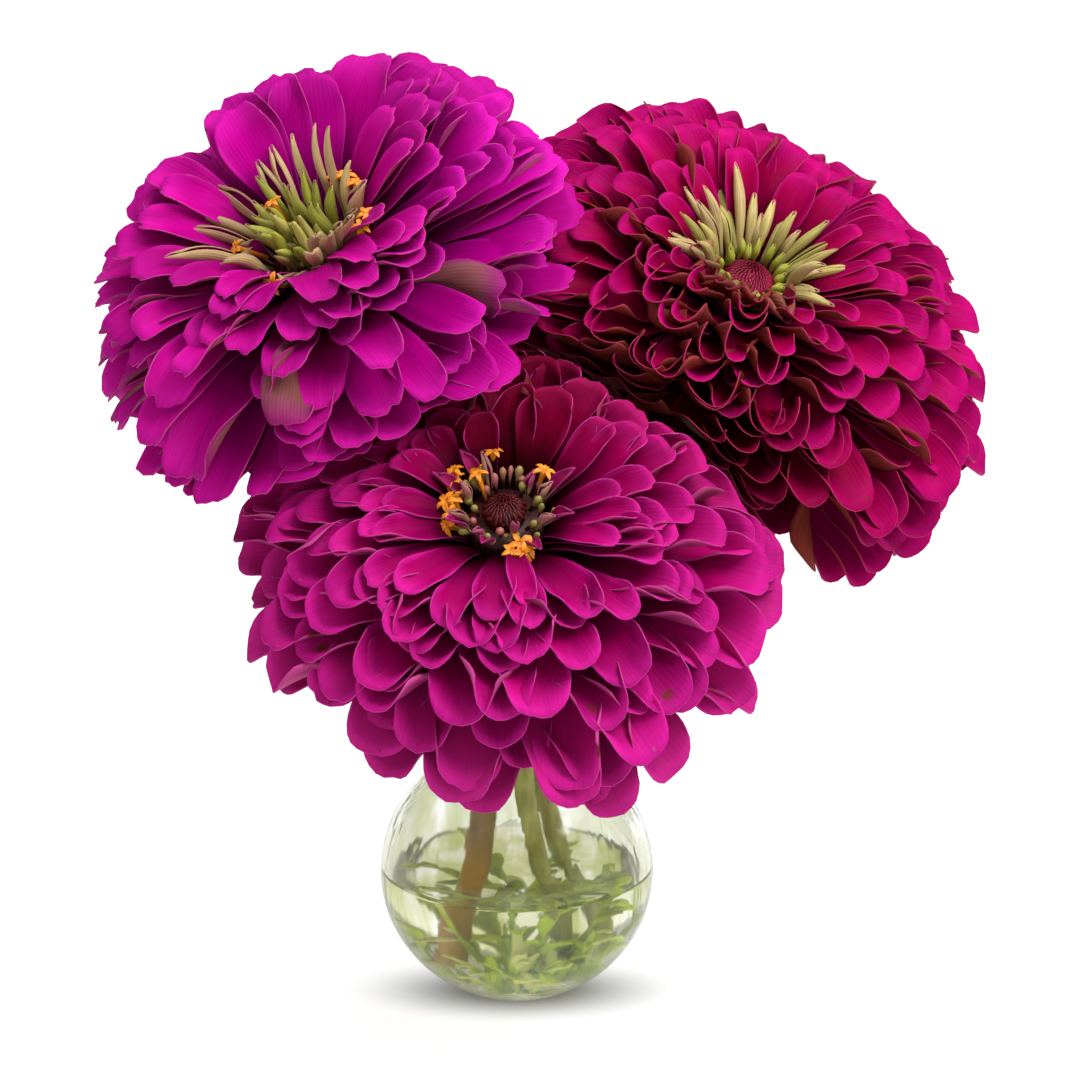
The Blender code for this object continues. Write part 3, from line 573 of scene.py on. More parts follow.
def ray_petals(name):
    """Table values, azimuths, rolls, wave phases, chances, ages and tones of a bloom's petals, where a
    tone is the factor of painted light and shade on a petal.

    Petal k of n has the age (k + 0.5) / n and stands k golden angles round the axis. Each is a little
    uneven, the sectors change it, and some petals are missing or turned over."""
    bloom = BLOOMS[name]
    count = bloom["petals"]
    draw = np.random.default_rng(bloom["seed"])
    ages = (np.arange(count) + 0.5) / count
    values = from_table(bloom["table"], ages)
    uneven = draw.normal(size=(count, len(SPREADS))) * bloom["unruly"] * SPREADS
    turn, reach, height, root_slope, tip_slope, width, trough, roll = uneven.T
    angles = np.arange(count) * GOLDEN_ANGLE + turn
    grown = between(ages, 0.05, 0.55)
    values[:, TIP_RADIUS] *= 1 + reach * (0.4 + 0.6 * grown)
    values[:, TIP_HEIGHT] += height * (0.5 + grown) + bloom["back_lift"] * np.sin(angles) * grown
    values[:, ROOT_SLOPE] += root_slope
    values[:, TIP_SLOPE] += tip_slope
    values[:, HALF_WIDTH] *= 1 + width
    values[:, TROUGH] *= 1 + trough
    rolls = np.radians(roll) * (0.3 + 0.7 * grown)
    for sector in bloom["sectors"]:
        share = sector_share(angles, ages, *sector[:4])
        for column, change in zip(SECTOR_COLUMNS, sector[4:]):
            values[:, column] += change * share
    kept = np.ones(count, bool)
    for azimuth, spread, youngest, oldest, missing in bloom["thinned"]:
        near = (np.abs(degrees_apart(angles, azimuth)) < spread) & (ages >= youngest) & (ages <= oldest)
        kept &= ~near | (draw.uniform(size=count) > missing)
    for azimuth, age, roll, lift in bloom["turned"]:
        chosen = np.argmin((degrees_apart(angles, azimuth) / 12) ** 2 + ((ages - age) / 0.08) ** 2)
        rolls[chosen] = math.radians(roll)
        values[chosen, TIP_SLOPE] += lift
        values[chosen, [TIP_RADIUS, TIP_HEIGHT]] += np.array((-0.1, 0.05)) * lift
        kept[chosen] = True
    # Tones: painted light and shade on each petal, below 1 for painted shade and above 1 for painted light.
    tones = np.ones(count)
    for *sector, tone in bloom["shaded"]:
        tones *= 1 + (tone - 1) * sector_share(angles, ages, *sector)
    waves, chances = draw.uniform(size=(count, 3)), draw.uniform(size=count)
    return tuple(row[kept] for row in (values, angles, rolls, waves, chances, ages, tones))


# ---------------------------------------------------------------- materials


def fill(tree, socket, value):
    """Links another node's output to a socket, or sets the socket's own value."""
    if isinstance(value, bpy.types.NodeSocket):
        tree.links.new(value, socket)
    else:
        socket.default_value = value


def shader_node(tree, kind, inputs=None, **settings):
    """A new node with these settings. Each input is a value, or the output of another node."""
    made = tree.nodes.new("ShaderNode" + kind)
    for key, value in settings.items():
        setattr(made, key, value)
    for key, value in (inputs or {}).items():
        fill(tree, next(s for s in made.inputs if s.name == key and s.enabled), value)
    return made


def shown(node):
    """The output that a node has in use."""
    return next(s for s in node.outputs if s.enabled)


def mixed(tree, factor, a, b, blend="MIX"):
    """A colour between a and b."""
    inputs = {"Factor": factor, "A": a, "B": b}
    return shown(shader_node(tree, "Mix", inputs, data_type="RGBA", blend_type=blend))


def sums(tree, operation, a, b=0.0, c=0.0):
    """One step of arithmetic on two or three numbers."""
    made = shader_node(tree, "Math", operation=operation)
    for socket, value in zip(made.inputs, (a, b, c)):
        fill(tree, socket, value)
    return made.outputs[0]


def times(tree, a, b):
    """a * b."""
    return sums(tree, "MULTIPLY", a, b)


def scaled(tree, a, factor, shift):
    """a * factor + shift."""
    return sums(tree, "MULTIPLY_ADD", a, factor, shift)


def rest(tree, a):
    """1 - a."""
    return sums(tree, "SUBTRACT", 1.0, a)


def ramped(tree, value, low, high):
    """0 where the value is at low, 1 where it is at high, smooth between."""
    inputs = {"Value": value, "From Min": low, "From Max": high}
    return shown(shader_node(tree, "MapRange", inputs, interpolation_type="SMOOTHSTEP"))


def noise(tree, place, scale, detail=2.0, distortion=0.0):
    """Smooth noise from 0 to 1."""
    inputs = {"Vector": place, "Scale": scale, "Detail": detail, "Distortion": distortion}
    return shader_node(tree, "TexNoise", inputs).outputs["Fac"]


def stretched(tree, place, scale):
    """A place with its three axes scaled."""
    return shown(shader_node(tree, "Mapping", {"Vector": place, "Scale": scale}))


def own_place(tree):
    """The place on the object itself."""
    return shader_node(tree, "TexCoord").outputs["Object"]


def kept_value(tree, key):
    """A number that the mesh keeps by name."""
    return shader_node(tree, "Attribute", attribute_name=key).outputs["Fac"]


def blended(tree, factor, first, second, output):
    """Joins two shaders by a factor, and makes the blend the tree's output."""
    blend = shader_node(tree, "MixShader", {"Fac": factor})
    tree.links.new(shown(first), blend.inputs[1])
    tree.links.new(shown(second), blend.inputs[2])
    tree.links.new(shown(blend), tree.nodes[output].inputs["Surface"])


def colour(rgb):
    """A colour with its alpha."""
    return (*rgb, 1.0)


def new_material(name, roughness, **constants):
    """A material, its tree and its Principled shader, with constants set on the shader's own sockets."""
    made = bpy.data.materials.new(name)
    made.use_nodes = True
    shader = made.node_tree.nodes["Principled BSDF"]
    shader.inputs["Roughness"].default_value = roughness
    for key, value in constants.items():
        shader.inputs[key.replace("_", " ")].default_value = value
    return made, made.node_tree, shader


def finish_skin(tree, shader, skin, height=None, strength=0.3, distance=0.0004):
    """Gives a shader its colour, and its relief from a height, the distance in metres."""
    tree.links.new(skin, shader.inputs["Base Color"])
    if height is not None:
        bump = shader_node(tree, "Bump", {"Height": height, "Strength": strength, "Distance": distance})
        tree.links.new(bump.outputs["Normal"], shader.inputs["Normal"])


# Scales of the patterns: the map's streaks and blotches and the veins' wave on a petal, and the three
# axes of fibres in plants and of ripples in glass, which are drawn out upwards.
STREAKS, BLOTCHES, VEINS = (16.0, 1.6, 1.0), 2.6, 95.0
FIBRES, RIPPLES = (700.0, 700.0, 60.0), (130.0, 130.0, 38.0)
BROWN_SPOT = (0.16, 0.03, 0.01)


def petal_skin_group():
    """Colour and relief of a petal from its own map.

    Colour goes from the root's to the body's, which it reaches where the painted shade ends, and to the
    rim's at the margin. The dark root is mostly painted shade, where younger petals cover the root and
    in the cup's hollow, with some of the petal's own deeper colour. The lighter rim is partly the
    petal's own paler edge and partly a painted highlight, the sheen of its velvet. Painted light and
    shade multiply the colour: below 1 they darken a petal and above 1 they lighten it, its blue the
    most either way. Veins are fine bands across the map, wavered by noise."""
    tree = bpy.data.node_groups.new("petal skin", "ShaderNodeTree")
    for name, default in (
        ("Across", 0.5), ("Along", 0.5), ("Chance", 0.5), ("Root", (0.1, 0.0, 0.05, 1)),
        ("Body", (0.4, 0.0, 0.2, 1)), ("Rim", (0.6, 0.1, 0.4, 1)), ("Rim Width", 0.12),
        ("Hollow", 0.62), ("Painted Light And Shade", 1.0), ("Vein Depth", 0.15),
    ):
        kind = "NodeSocketFloat" if isinstance(default, float) else "NodeSocketColor"
        tree.interface.new_socket(name, in_out="INPUT", socket_type=kind).default_value = default
    tree.interface.new_socket("Color", in_out="OUTPUT", socket_type="NodeSocketColor")
    tree.interface.new_socket("Relief", in_out="OUTPUT", socket_type="NodeSocketFloat")
    given, out = tree.nodes.new("NodeGroupInput").outputs, tree.nodes.new("NodeGroupOutput").inputs
    across, along, chance = given["Across"], given["Along"], given["Chance"]
    shifted = scaled(tree, chance, 37.0, 0.0)
    place = shown(shader_node(tree, "CombineXYZ", {"X": across, "Y": along, "Z": shifted}))
    streaks = noise(tree, stretched(tree, place, STREAKS), 1.0, 3.0)
    blotch = noise(tree, place, BLOTCHES)
    wavered = sums(tree, "ADD", across, times(tree, streaks, 0.07))
    veins = scaled(tree, sums(tree, "SINE", times(tree, wavered, VEINS)), 0.5, 0.5)
    # The dark root is mostly painted shade, where younger petals cover it and in the cup.
    lower = mixed(tree, ramped(tree, along, 0.12, given["Hollow"]), given["Root"], given["Body"])
    middle = sums(tree, "ABSOLUTE", scaled(tree, across, 2.0, -1.0))
    inner = rest(tree, given["Rim Width"])
    at_edge = sums(tree, "MAXIMUM", ramped(tree, middle, inner, 1.0), ramped(tree, along, inner, 1.0))
    # The lighter rim is partly the petal's own paler edge, partly a painted highlight of its velvet sheen.
    whole = mixed(tree, times(tree, at_edge, ramped(tree, along, 0.3, 0.7)), lower, given["Rim"])
    tone = times(tree, scaled(tree, streaks, 0.3, 0.85), scaled(tree, blotch, 0.6, 0.7))
    tone = times(tree, tone, scaled(tree, chance, 0.34, 0.83))
    depth = times(tree, veins, given["Vein Depth"])
    tone = sums(tree, "SUBTRACT", tone, times(tree, depth, 0.5))
    # Painted light and shade multiply red and green once and blue twice.
    tone = times(tree, tone, given["Painted Light And Shade"])
    bluer = times(tree, tone, given["Painted Light And Shade"])
    grey = shown(shader_node(tree, "CombineColor", {"Red": tone, "Green": tone, "Blue": bluer}))
    tree.links.new(mixed(tree, 1.0, whole, grey, "MULTIPLY"), out["Color"])
    tree.links.new(scaled(tree, streaks, 0.6, depth), out["Relief"])
    return tree


def petal_inputs(tree):
    """The sheet's map and chance for the petal skin, and its along, age and side."""
    uv = shader_node(tree, "UVMap", uv_map="surface")
    parts = shader_node(tree, "SeparateXYZ", {"Vector": uv.outputs["UV"]}).outputs
    given = {"Across": parts["X"], "Along": parts["Y"], "Chance": kept_value(tree, "chance")}
    return given, parts["Y"], kept_value(tree, "age"), kept_value(tree, "side")


def petal_skin(tree, group, given, root, body, rim, rim_width, vein_depth, hollow=0.62):
    """The outputs of the petal skin with these colours and sizes."""
    inputs = {"Root": root, "Body": body, "Rim": rim, "Rim Width": rim_width, "Vein Depth": vein_depth}
    return shader_node(tree, "Group", {**given, **inputs, "Hollow": hollow}, node_tree=group).outputs


def petal_material(name, group, bloom, spots):
    """A bloom's petals: the upper side, the back, the thin margin, and the oldest rows, which fade."""
    made, tree, shader = new_material(name, 0.42, Specular_IOR_Level=0.02)
    given, along, age, side = petal_inputs(tree)
    # The kept tone is the petal's painted light and shade.
    given["Painted Light And Shade"] = kept_value(tree, "tone")
    upper, lower = (bloom.root, bloom.body, bloom.rim), (bloom.back_root, bloom.back_body, bloom.back_rim)
    front = petal_skin(tree, group, given, *map(colour, upper), 0.28, 0.12, bloom.hollow)
    back = petal_skin(tree, group, given, *map(colour, lower), 0.20, 0.30)
    faded = times(tree, ramped(tree, age, 0.55, 1.0), 0.6)
    skin = mixed(tree, faded, front["Color"], colour(bloom.aged))
    skin = mixed(tree, ramped(tree, side, 0.55, 0.95), skin, back["Color"])
    # The thin margin's paler colour is partly the petal's own edge, partly a painted highlight along it.
    at_margin = times(tree, ramped(tree, side, 0.1, 0.5), rest(tree, ramped(tree, side, 0.5, 0.9)))
    skin = mixed(tree, at_margin, skin, colour(bloom.margin))
    if spots:
        where = own_place(tree)
        cells = shader_node(tree, "TexVoronoi", {"Vector": where, "Scale": 90.0})
        spot = rest(tree, ramped(tree, cells.outputs["Distance"], 0.08, 0.17))
        spot = times(tree, spot, ramped(tree, noise(tree, where, 31.0, 1.0), 0.50, 0.58))
        spot = times(tree, spot, ramped(tree, along, 0.78, 0.9))
        skin = mixed(tree, times(tree, spot, ramped(tree, age, 0.3, 0.7)), skin, colour(BROWN_SPOT))
    finish_skin(tree, shader, skin, front["Relief"], 0.35, 0.0006)
    return made


def quill_material(name, group, bloom, pale, green):
    """Quills: the bloom's own colour inside, and pale or green backs by how green each one is."""
    made, tree, shader = new_material(name, 0.5, Specular_IOR_Level=0.2)
    given, _, age, side = petal_inputs(tree)
    front = petal_skin(tree, group, given, *map(colour, (bloom.root, bloom.body, bloom.rim)), 0.2, 0.1)
    back_tint = mixed(tree, ramped(tree, age, 0.3, 0.85), colour(pale), colour(green))
    blush = mixed(tree, ramped(tree, age, 0.0, 0.45), colour(bloom.back_body), back_tint)
    back = petal_skin(tree, group, given, back_tint, blush, blush, 0.2, 0.35)
    skin = mixed(tree, ramped(tree, side, 0.3, 0.6), front["Color"], back["Color"])
    finish_skin(tree, shader, skin, back["Relief"], 0.3, 0.0005)
    return made


def plant_material(name, low, brighter, roughness, bumpiness, soaked=None):
    """Stems, bracts and florets: a colour and one so many times brighter, mixed by noise drawn out
    along the plant, with its relief.

    What stands in the water takes on the soaked colour, where one is given."""
    made, tree, shader = new_material(name, roughness)
    where = own_place(tree)
    fibres = noise(tree, stretched(tree, where, FIBRES), 1.0, 4.0)
    blend = scaled(tree, noise(tree, where, 130.0, 3.0), 0.7, times(tree, fibres, 0.5))
    high = [min(1, brighter * c) for c in low]
    skin = mixed(tree, ramped(tree, blend, 0.35, 0.85), colour(low), colour(high))
    if soaked is not None:
        height = shader_node(tree, "SeparateXYZ", {"Vector": where}).outputs["Z"]
        drenched = rest(tree, ramped(tree, height, WATER_LEVEL - 2 * MM, WATER_LEVEL + 12 * MM))
        skin = mixed(tree, times(tree, drenched, 0.9), skin, colour(soaked))
    finish_skin(tree, shader, skin, fibres, bumpiness)
    return made


def bud_material(name, base, head):
    """Buds: as dark as the heart's floor at the foot, which is painted shade down among them, and each head
    olive, yellow or pink by chance.
    """
    made, tree, shader = new_material(name, 0.45)
    grain = noise(tree, own_place(tree), 700.0)
    pink = colour((1.4 * head[0], 0.45 * head[1], 1.8 * head[2]))
    tinted = mixed(tree, ramped(tree, kept_value(tree, "chance"), 0.5, 0.7), colour(head), pink)
    risen = sums(tree, "ADD", kept_value(tree, "age"), scaled(tree, grain, 0.3, -0.15))
    finish_skin(tree, shader, mixed(tree, ramped(tree, risen, 0.25, 0.7), colour(base), tinted))
    return made


def leaf_material(name, bright, pale):
    """Leaves in the water: each one dark, bright or pale by its tone, with a lighter streak of noise."""
    made, tree, shader = new_material(name, 0.4)
    patches = noise(tree, own_place(tree), 260.0, 3.0)
    tone = sums(tree, "ADD", kept_value(tree, "tone"), scaled(tree, patches, 0.5, -0.25))
    dark = colour([0.4 * c for c in bright])
    lower = mixed(tree, ramped(tree, tone, 0.0, 0.5), dark, colour(bright))
    finish_skin(tree, shader, mixed(tree, ramped(tree, tone, 0.5, 1.0), lower, colour(pale)), patches)
    return made


def clear_material(name, rgb, roughness, ior, clear, relief):
    """Glass or water, a little cloudy, with ripples and streaks in its surface that run up and down.

    Light on its way to the things inside passes straight through."""
    made, tree, shader = new_material(name, roughness, Transmission_Weight=clear, IOR=ior)
    ripples = noise(tree, stretched(tree, own_place(tree), RIPPLES), 1.0, 2.0, 0.6)
    greener = colour((0.86 * rgb[0], 0.90 * rgb[1], 0.76 * rgb[2]))
    streaked = mixed(tree, ramped(tree, ripples, 0.4, 0.62), greener, (1, 1, 1, 1))
    finish_skin(tree, shader, streaked, ripples, relief, 0.001)
    path = shader_node(tree, "LightPath").outputs
    passing = sums(tree, "MAXIMUM", path["Is Shadow Ray"], path["Is Diffuse Ray"])
    plain = shader_node(tree, "BsdfTransparent", {"Color": colour(rgb)})
    blended(tree, passing, shader, plain, "Material Output")
    return made


# ---------------------------------------------------------------- hearts

# Rings of narrow petals in each heart. Each ring: how many, their middle azimuth and spread in
# degrees, how green their backs are, and the least and the most of the table values of one petal:
# root radius and height, tip radius and height, slopes at root and tip, half width, trough, lip, wave.
QUILLS = {
    "front": (
        (8, 270, 340, 0.2, (7.0, -1.5, 9.0, 5.0, 70, 50, 2.0, 2.6, 0, 0.1),
         (8.0, -0.5, 13.0, 8.0, 80, 70, 2.8, 3.0, 0, 0.2)),
        (7, 260, 320, 0.0, (8.0, -1.5, 12.0, 4.0, 50, 20, 2.0, 1.2, 0, 0.1),
         (8.5, -1.0, 17.0, 7.0, 66, 40, 2.6, 1.8, 0, 0.3)),
    ),
    "left": (
        (16, 150, 260, 0.8, (3.0, -2.0, 4.0, 8.0, 72, 66, 3.0, 3.5, 0, 0.0),
         (7.6, -1.0, 11.5, 15.5, 88, 84, 4.4, 3.9, 0, 0.1)),
        (12, 275, 190, 0.65, (2.0, -2.0, 3.0, 6.0, 76, 72, 3.0, 3.4, 0, 0.0),
         (7.5, -1.0, 10.0, 13.0, 90, 86, 4.4, 3.8, 0, 0.1)),
        (7, 184, 130, 0.3, (8.5, -2.0, 18.0, 10.0, 44, 22, 3.6, 2.8, 0, 0.1),
         (10.0, -1.0, 29.0, 15.0, 58, 40, 5.6, 3.6, 0, 0.2)),
        (4, 82, 76, 0.45, (8.5, -2.0, 13.0, 14.0, 62, 50, 2.4, 3.2, 0, 0.1),
         (10.0, -1.0, 19.0, 23.0, 74, 62, 3.6, 3.8, 0, 0.2)),
        (7, 352, 84, 0.35, (9.0, -2.0, 13.0, 9.0, 54, 38, 3.4, 1.6, 0, 0.1),
         (10.0, -1.0, 21.0, 15.0, 72, 56, 5.2, 2.8, 0, 0.4)),
        (8, 262, 150, 0.2, (9.0, -2.0, 15.0, 4.0, 40, 10, 3.4, 0.8, 0, 0.2),
         (10.5, -1.0, 23.0, 8.0, 56, 30, 5.4, 1.6, 0, 0.9)),
    ),
    "right": (
        (13, 95, 250, 1.0, (5.8, -1.5, 6.6, 3.5, 74, 60, 2.4, 3.4, 0, 0.0),
         (6.8, -0.5, 9.5, 7.0, 86, 80, 3.0, 3.8, 0, 0.1)),
        (8, 275, 120, 0.9, (5.8, -1.5, 7.0, 2.0, 74, 60, 2.2, 3.2, 0, 0.0),
         (6.8, -1.0, 9.5, 4.0, 86, 76, 3.0, 3.5, 0, 0.1)),
        (26, 60, 240, 0.5, (7.6, -2.0, 13.0, 6.5, 56, 30, 3.0, 3.0, 0, 0.1),
         (9.0, -1.0, 26.0, 13.0, 74, 54, 4.2, 3.8, 0, 0.2)),
        (14, 232, 130, 0.0, (8.5, -1.5, 12.0, 5.0, 56, 10, 5.0, 1.2, 0.2, 0.8),
         (10.5, 0.0, 21.0, 10.0, 76, 44, 7.0, 2.1, 0.6, 2.0)),
    ),
}

# The dome of each heart: its radius and height in mm, its rim's height, and its number of scales. Its
# skirt goes so far down from the rim, in mm.
DOMES = {"front": (4.2, 1.2, 0.2, 64), "left": (9.0, 1.5, -1.2, 60), "right": (5.6, 2.2, 0.2, 130)}

# Open florets: azimuth in degrees, distance from the axis, height in mm, and lean outwards in degrees.
STARS = {
    "front": (
        (101, 13.2, 3.4, 20), (132, 8.2, 4.4, 25), (122, 10.6, 2.6, 40), (41, 10.6, 4.4, 20),
        (142, 13.2, 3.2, 30), (150, 12.0, 2.2, 40), (181, 11.8, 3.2, 35), (172, 10.4, 2.0, 20),
        (196, 11.6, 3.0, 40), (205, 12.8, 1.6, 50), (286, 11.4, 2.8, 30), (277, 12.6, 2.2, 20),
        (286, 14.0, 2.6, 40), (294, 12.0, 1.6, 30),
    ),
    "left": (
        (63, 13.7, 10.0, 20), (52, 14.6, 9.0, 30), (72, 12.6, 9.4, 10), (165, 6.2, 11.2, 20),
        (178, 8.4, 9.4, 40), (12, 17.6, 9.0, 30), (2, 16.4, 8.0, 20), (18, 15.4, 7.4, 30),
        (221, 14.0, 8.0, 40), (281, 17.0, 7.0, 40),
    ),
    "right": (),
}
DOME_SKIRT = 3.0
FLORET_SIZE = 2.3 * MM
BUDS = {"front": 34, "left": 8, "right": 0}

# How far the heart's middle lies from the bloom's axis, in mm.
ASIDE = {"front": (0.0, 0.0), "left": (2.6, -2.4), "right": (0.0, 0.0)}


def off_axis(name, points):
    """Points about the middle of a bloom's heart, in the bloom's frame."""
    return points + np.array((*ASIDE[name], 0.0)) * MM


def to_heart(name, points):
    """Points about the middle of a bloom's heart, turned and moved to their place."""
    return to_world(name, off_axis(name, points))


def leaning(out, lean):
    """Unit vectors that lean from upright towards out."""
    return out * np.sin(lean)[:, None] + UP * np.cos(lean)[:, None]


def stalk_rings(start, angle, lean, length, share, thick, sides):
    """Rings round short straight stalks, which lean outwards from upright at their azimuths.

    Ring k is a circle square to its stalk, of radius thick[k], a share of the length from the start."""
    ahead, aside = leaning(about_axis(1, 0, 0, angle), lean), about_axis(0, 1, 0, angle)
    over = np.cross(ahead, aside)
    path = start[:, None] + ahead[:, None] * (share[:, None] * length[:, None, None])
    around = np.linspace(0, math.tau, sides, endpoint=False)[:, None]
    circle = np.cos(around) * aside[:, None, None] + np.sin(around) * over[:, None, None]
    return path[:, :, None] + thick[..., None, None] * circle


def ring_petals(rings, draw):
    """Table values, azimuths and backs' greenness of the rings of quills."""
    values, angles, greens = [], [], []
    for count, azimuth, spread, green, least, most in rings:
        share = draw.uniform(size=(count, 10))
        values.append(np.array(least) * (1 - share) + np.array(most) * share)
        steps = (np.arange(count) + 0.5) / count - 0.5 + draw.uniform(-0.3, 0.3, count) / count
        angles.append(np.radians(azimuth + spread * steps))
        greens.append(np.clip(green + draw.uniform(-0.15, 0.15, count), 0, 1))
    return np.concatenate(values), np.concatenate(angles), np.concatenate(greens)


def quill_piece(name):
    """The narrow rolled petals round the heart, each one a petal whose trough nearly closes it."""
    draw = np.random.default_rng(BLOOMS[name]["seed"] + 100)
    values, angles, greens = ring_petals(QUILLS[name], draw)
    count = len(angles)
    grid = petal_grid(9, 12)
    rolls = np.radians(10) * draw.normal(size=count)
    waves = draw.uniform(size=(count, 3))
    surfaces = petal_surfaces(values, angles, rolls, waves, 0.05, grid, claw=0.9, taper=0.7)
    kept = {"age": greens, "chance": draw.uniform(size=count)}
    return petal_piece(f"heart_{name}_quills", name, off_axis(name, surfaces), grid, kept, 0.28 * MM)


def star_piece(name):
    """Open florets: five pointed lobes that curl back, on a short tube that widens to its mouth.

    Along a lobe the distance from the middle grows evenly, its half width is sin(pi * (0.12 + 0.88 t))
    ^ 0.8, and its height above the mouth is 0.42 t - 0.62 t^2, all times the floret's size."""
    spots = np.array(STARS[name], float)
    draw = np.random.default_rng(BLOOMS[name]["seed"] + 200)
    count, lobes = len(spots), 5
    out = about_axis(1, 0, 0, np.radians(spots[:, 0]))
    place = (out * spots[:, 1:2] + UP * spots[:, 2:3]) * MM
    normal = leaning(out, np.radians(spots[:, 3]))
    side = np.cross(normal, out)
    side /= np.linalg.norm(side, axis=1, keepdims=True)
    axes = np.stack([side, np.cross(side, normal), normal], axis=1)
    size = FLORET_SIZE * draw.uniform(0.85, 1.15, count)[:, None, None, None]
    lobe = draw.uniform(0, 1.2, (count, 1)) + np.arange(lobes) * math.tau / lobes
    lobe = (lobe + draw.normal(size=(count, lobes)) * 0.12)[..., None, None]
    curl = draw.uniform(0.7, 1.3, (count, lobes))[..., None, None]
    across, along = petal_grid(5, 7)
    u, v = across[None, None, None, :], along[None, None, :, None]
    width = 0.24 * np.sin(math.pi * (0.12 + 0.88 * v)) ** 0.8 * u
    rise = 0.42 * v - 0.62 * v**2 * curl + 0.35 * width**2 / 0.24
    petals = about_axis(0.12 + 0.95 * v, width, rise, lobe) * size[..., None]
    petals = np.einsum("nlrcj,njk->nlrck", petals, axes) + place[:, None, None, None]
    petals = petals.reshape(-1, len(along), len(across), 3)
    heights = np.array((-3.4, -1.2, -0.3, 0.05, 0.02))[:, None]
    radii = np.array((0.16, 0.20, 0.30, 0.40, 0.26))[:, None]
    tubes = about_axis(radii, 0, heights, np.linspace(0, math.tau, 8, endpoint=False)) * size
    tubes = np.einsum("nrsj,njk->nrsk", tubes, axes) + place[:, None, None]
    sheets = closed_sheets(to_heart(name, petals), 0.2 * MM)[:2]
    return add_piece(f"heart_{name}_florets", *joined(sheets, closed_tubes(to_heart(name, tubes))))


def bud_piece(name):
    """Unopened florets: thin stalks with round heads, in a ring at the dome's foot, leaning outwards."""
    draw = np.random.default_rng(BLOOMS[name]["seed"] + 300)
    count = BUDS[name]
    angle = (np.arange(count) + draw.uniform(-0.3, 0.3, count)) * math.tau / count
    reach = draw.uniform(4.6, 9.0, count) * MM
    length = draw.uniform(2.4, 5.2, count) * MM
    lean = draw.uniform(0.1, 0.8, count)
    size = draw.uniform(0.75, 1.25, count) * MM
    share = np.array((0.0, 0.45, 0.62, 0.74, 0.86, 0.96, 1.0))
    thick = np.array((0.40, 0.42, 0.62, 0.78, 0.74, 0.45, 0.2)) * size[:, None]
    rings = stalk_rings(about_axis(reach, 0, -1.2 * MM, angle), angle, lean, length, share, thick, 8)
    points, faces = closed_tubes(to_heart(name, rings))
    values = {"age": share[:, None], "chance": draw.uniform(size=count)[:, None, None]}
    values = {key: on_tubes(np.broadcast_to(value, rings.shape[:3])) for key, value in values.items()}
    return add_piece(f"heart_{name}_buds", points, faces, values=values)


def dome_piece(name):
    """The heart's dome, and its pointed scales set by the golden angle, each leaning to the middle.

    The dome's height is its top's times (1 - q^2), where q is the share of its radius."""
    width, high, level, count = DOMES[name]
    profile = [(width * q, level + high * (1 - q**2)) for q in np.linspace(0, 1, 10)]
    profile += [(width, level - DOME_SKIRT), (0.0, level - DOME_SKIRT)]
    number = np.arange(count)
    q = np.sqrt((number + 0.5) / count)
    angle = number * GOLDEN_ANGLE
    base = about_axis(width * q, 0, level + high * (1 - q**2), angle) * MM
    share = np.array((-0.4, 0.15, 0.6, 1.0))
    thick = np.array([(0.42, 0.46, 0.30, 0.06)]) * MM
    scales = stalk_rings(base, angle, -np.radians(14 + 26 * q), (0.7 + 1.3 * q) * MM, share, thick, 6)
    points, faces = joined(spun_solid(np.array(profile[::-1]) * MM, 40), closed_tubes(scales))
    return add_piece(f"heart_{name}_dome", to_heart(name, points), faces)


# ---------------------------------------------------------------- stems, calyces and greens


def stem_path(name):
    """The middle line of a stem, from its cut end into the calyx."""
    top = np.array((CALYX_BOTTOM - NAPE, CALYX_BOTTOM, CALYX_BOTTOM + 3 * MM))[:, None] * UP
    return smooth_path(np.vstack([np.array(STEMS[name][0]) * MM, to_world(name, top)]), 14)


def stem_piece(name):
    """A round stem with shallow ribs: its radius waves nine times round, and swells a little at its nodes."""
    path = stem_path(name)
    share = np.linspace(0, 1, len(path))[:, None]
    sides, ribs = 36, 9
    around = np.linspace(0, math.tau, sides, endpoint=False)[None]
    swell = 1 + 0.10 * np.exp(-(((share - 0.22) / 0.02) ** 2)) + 0.04 * np.sin(9 * share + 1)
    swell = swell * (1 if name == "front" else 0.72 + 0.28 * np.clip(share / 0.4, 0, 1))
    radius = STEMS[name][1] * MM * swell * (1 + 0.022 * np.cos(ribs * around + 5 * share))
    return add_piece(f"stem_{name}_stalk", *closed_tubes(tube_rings(path, radius, sides)[None]))


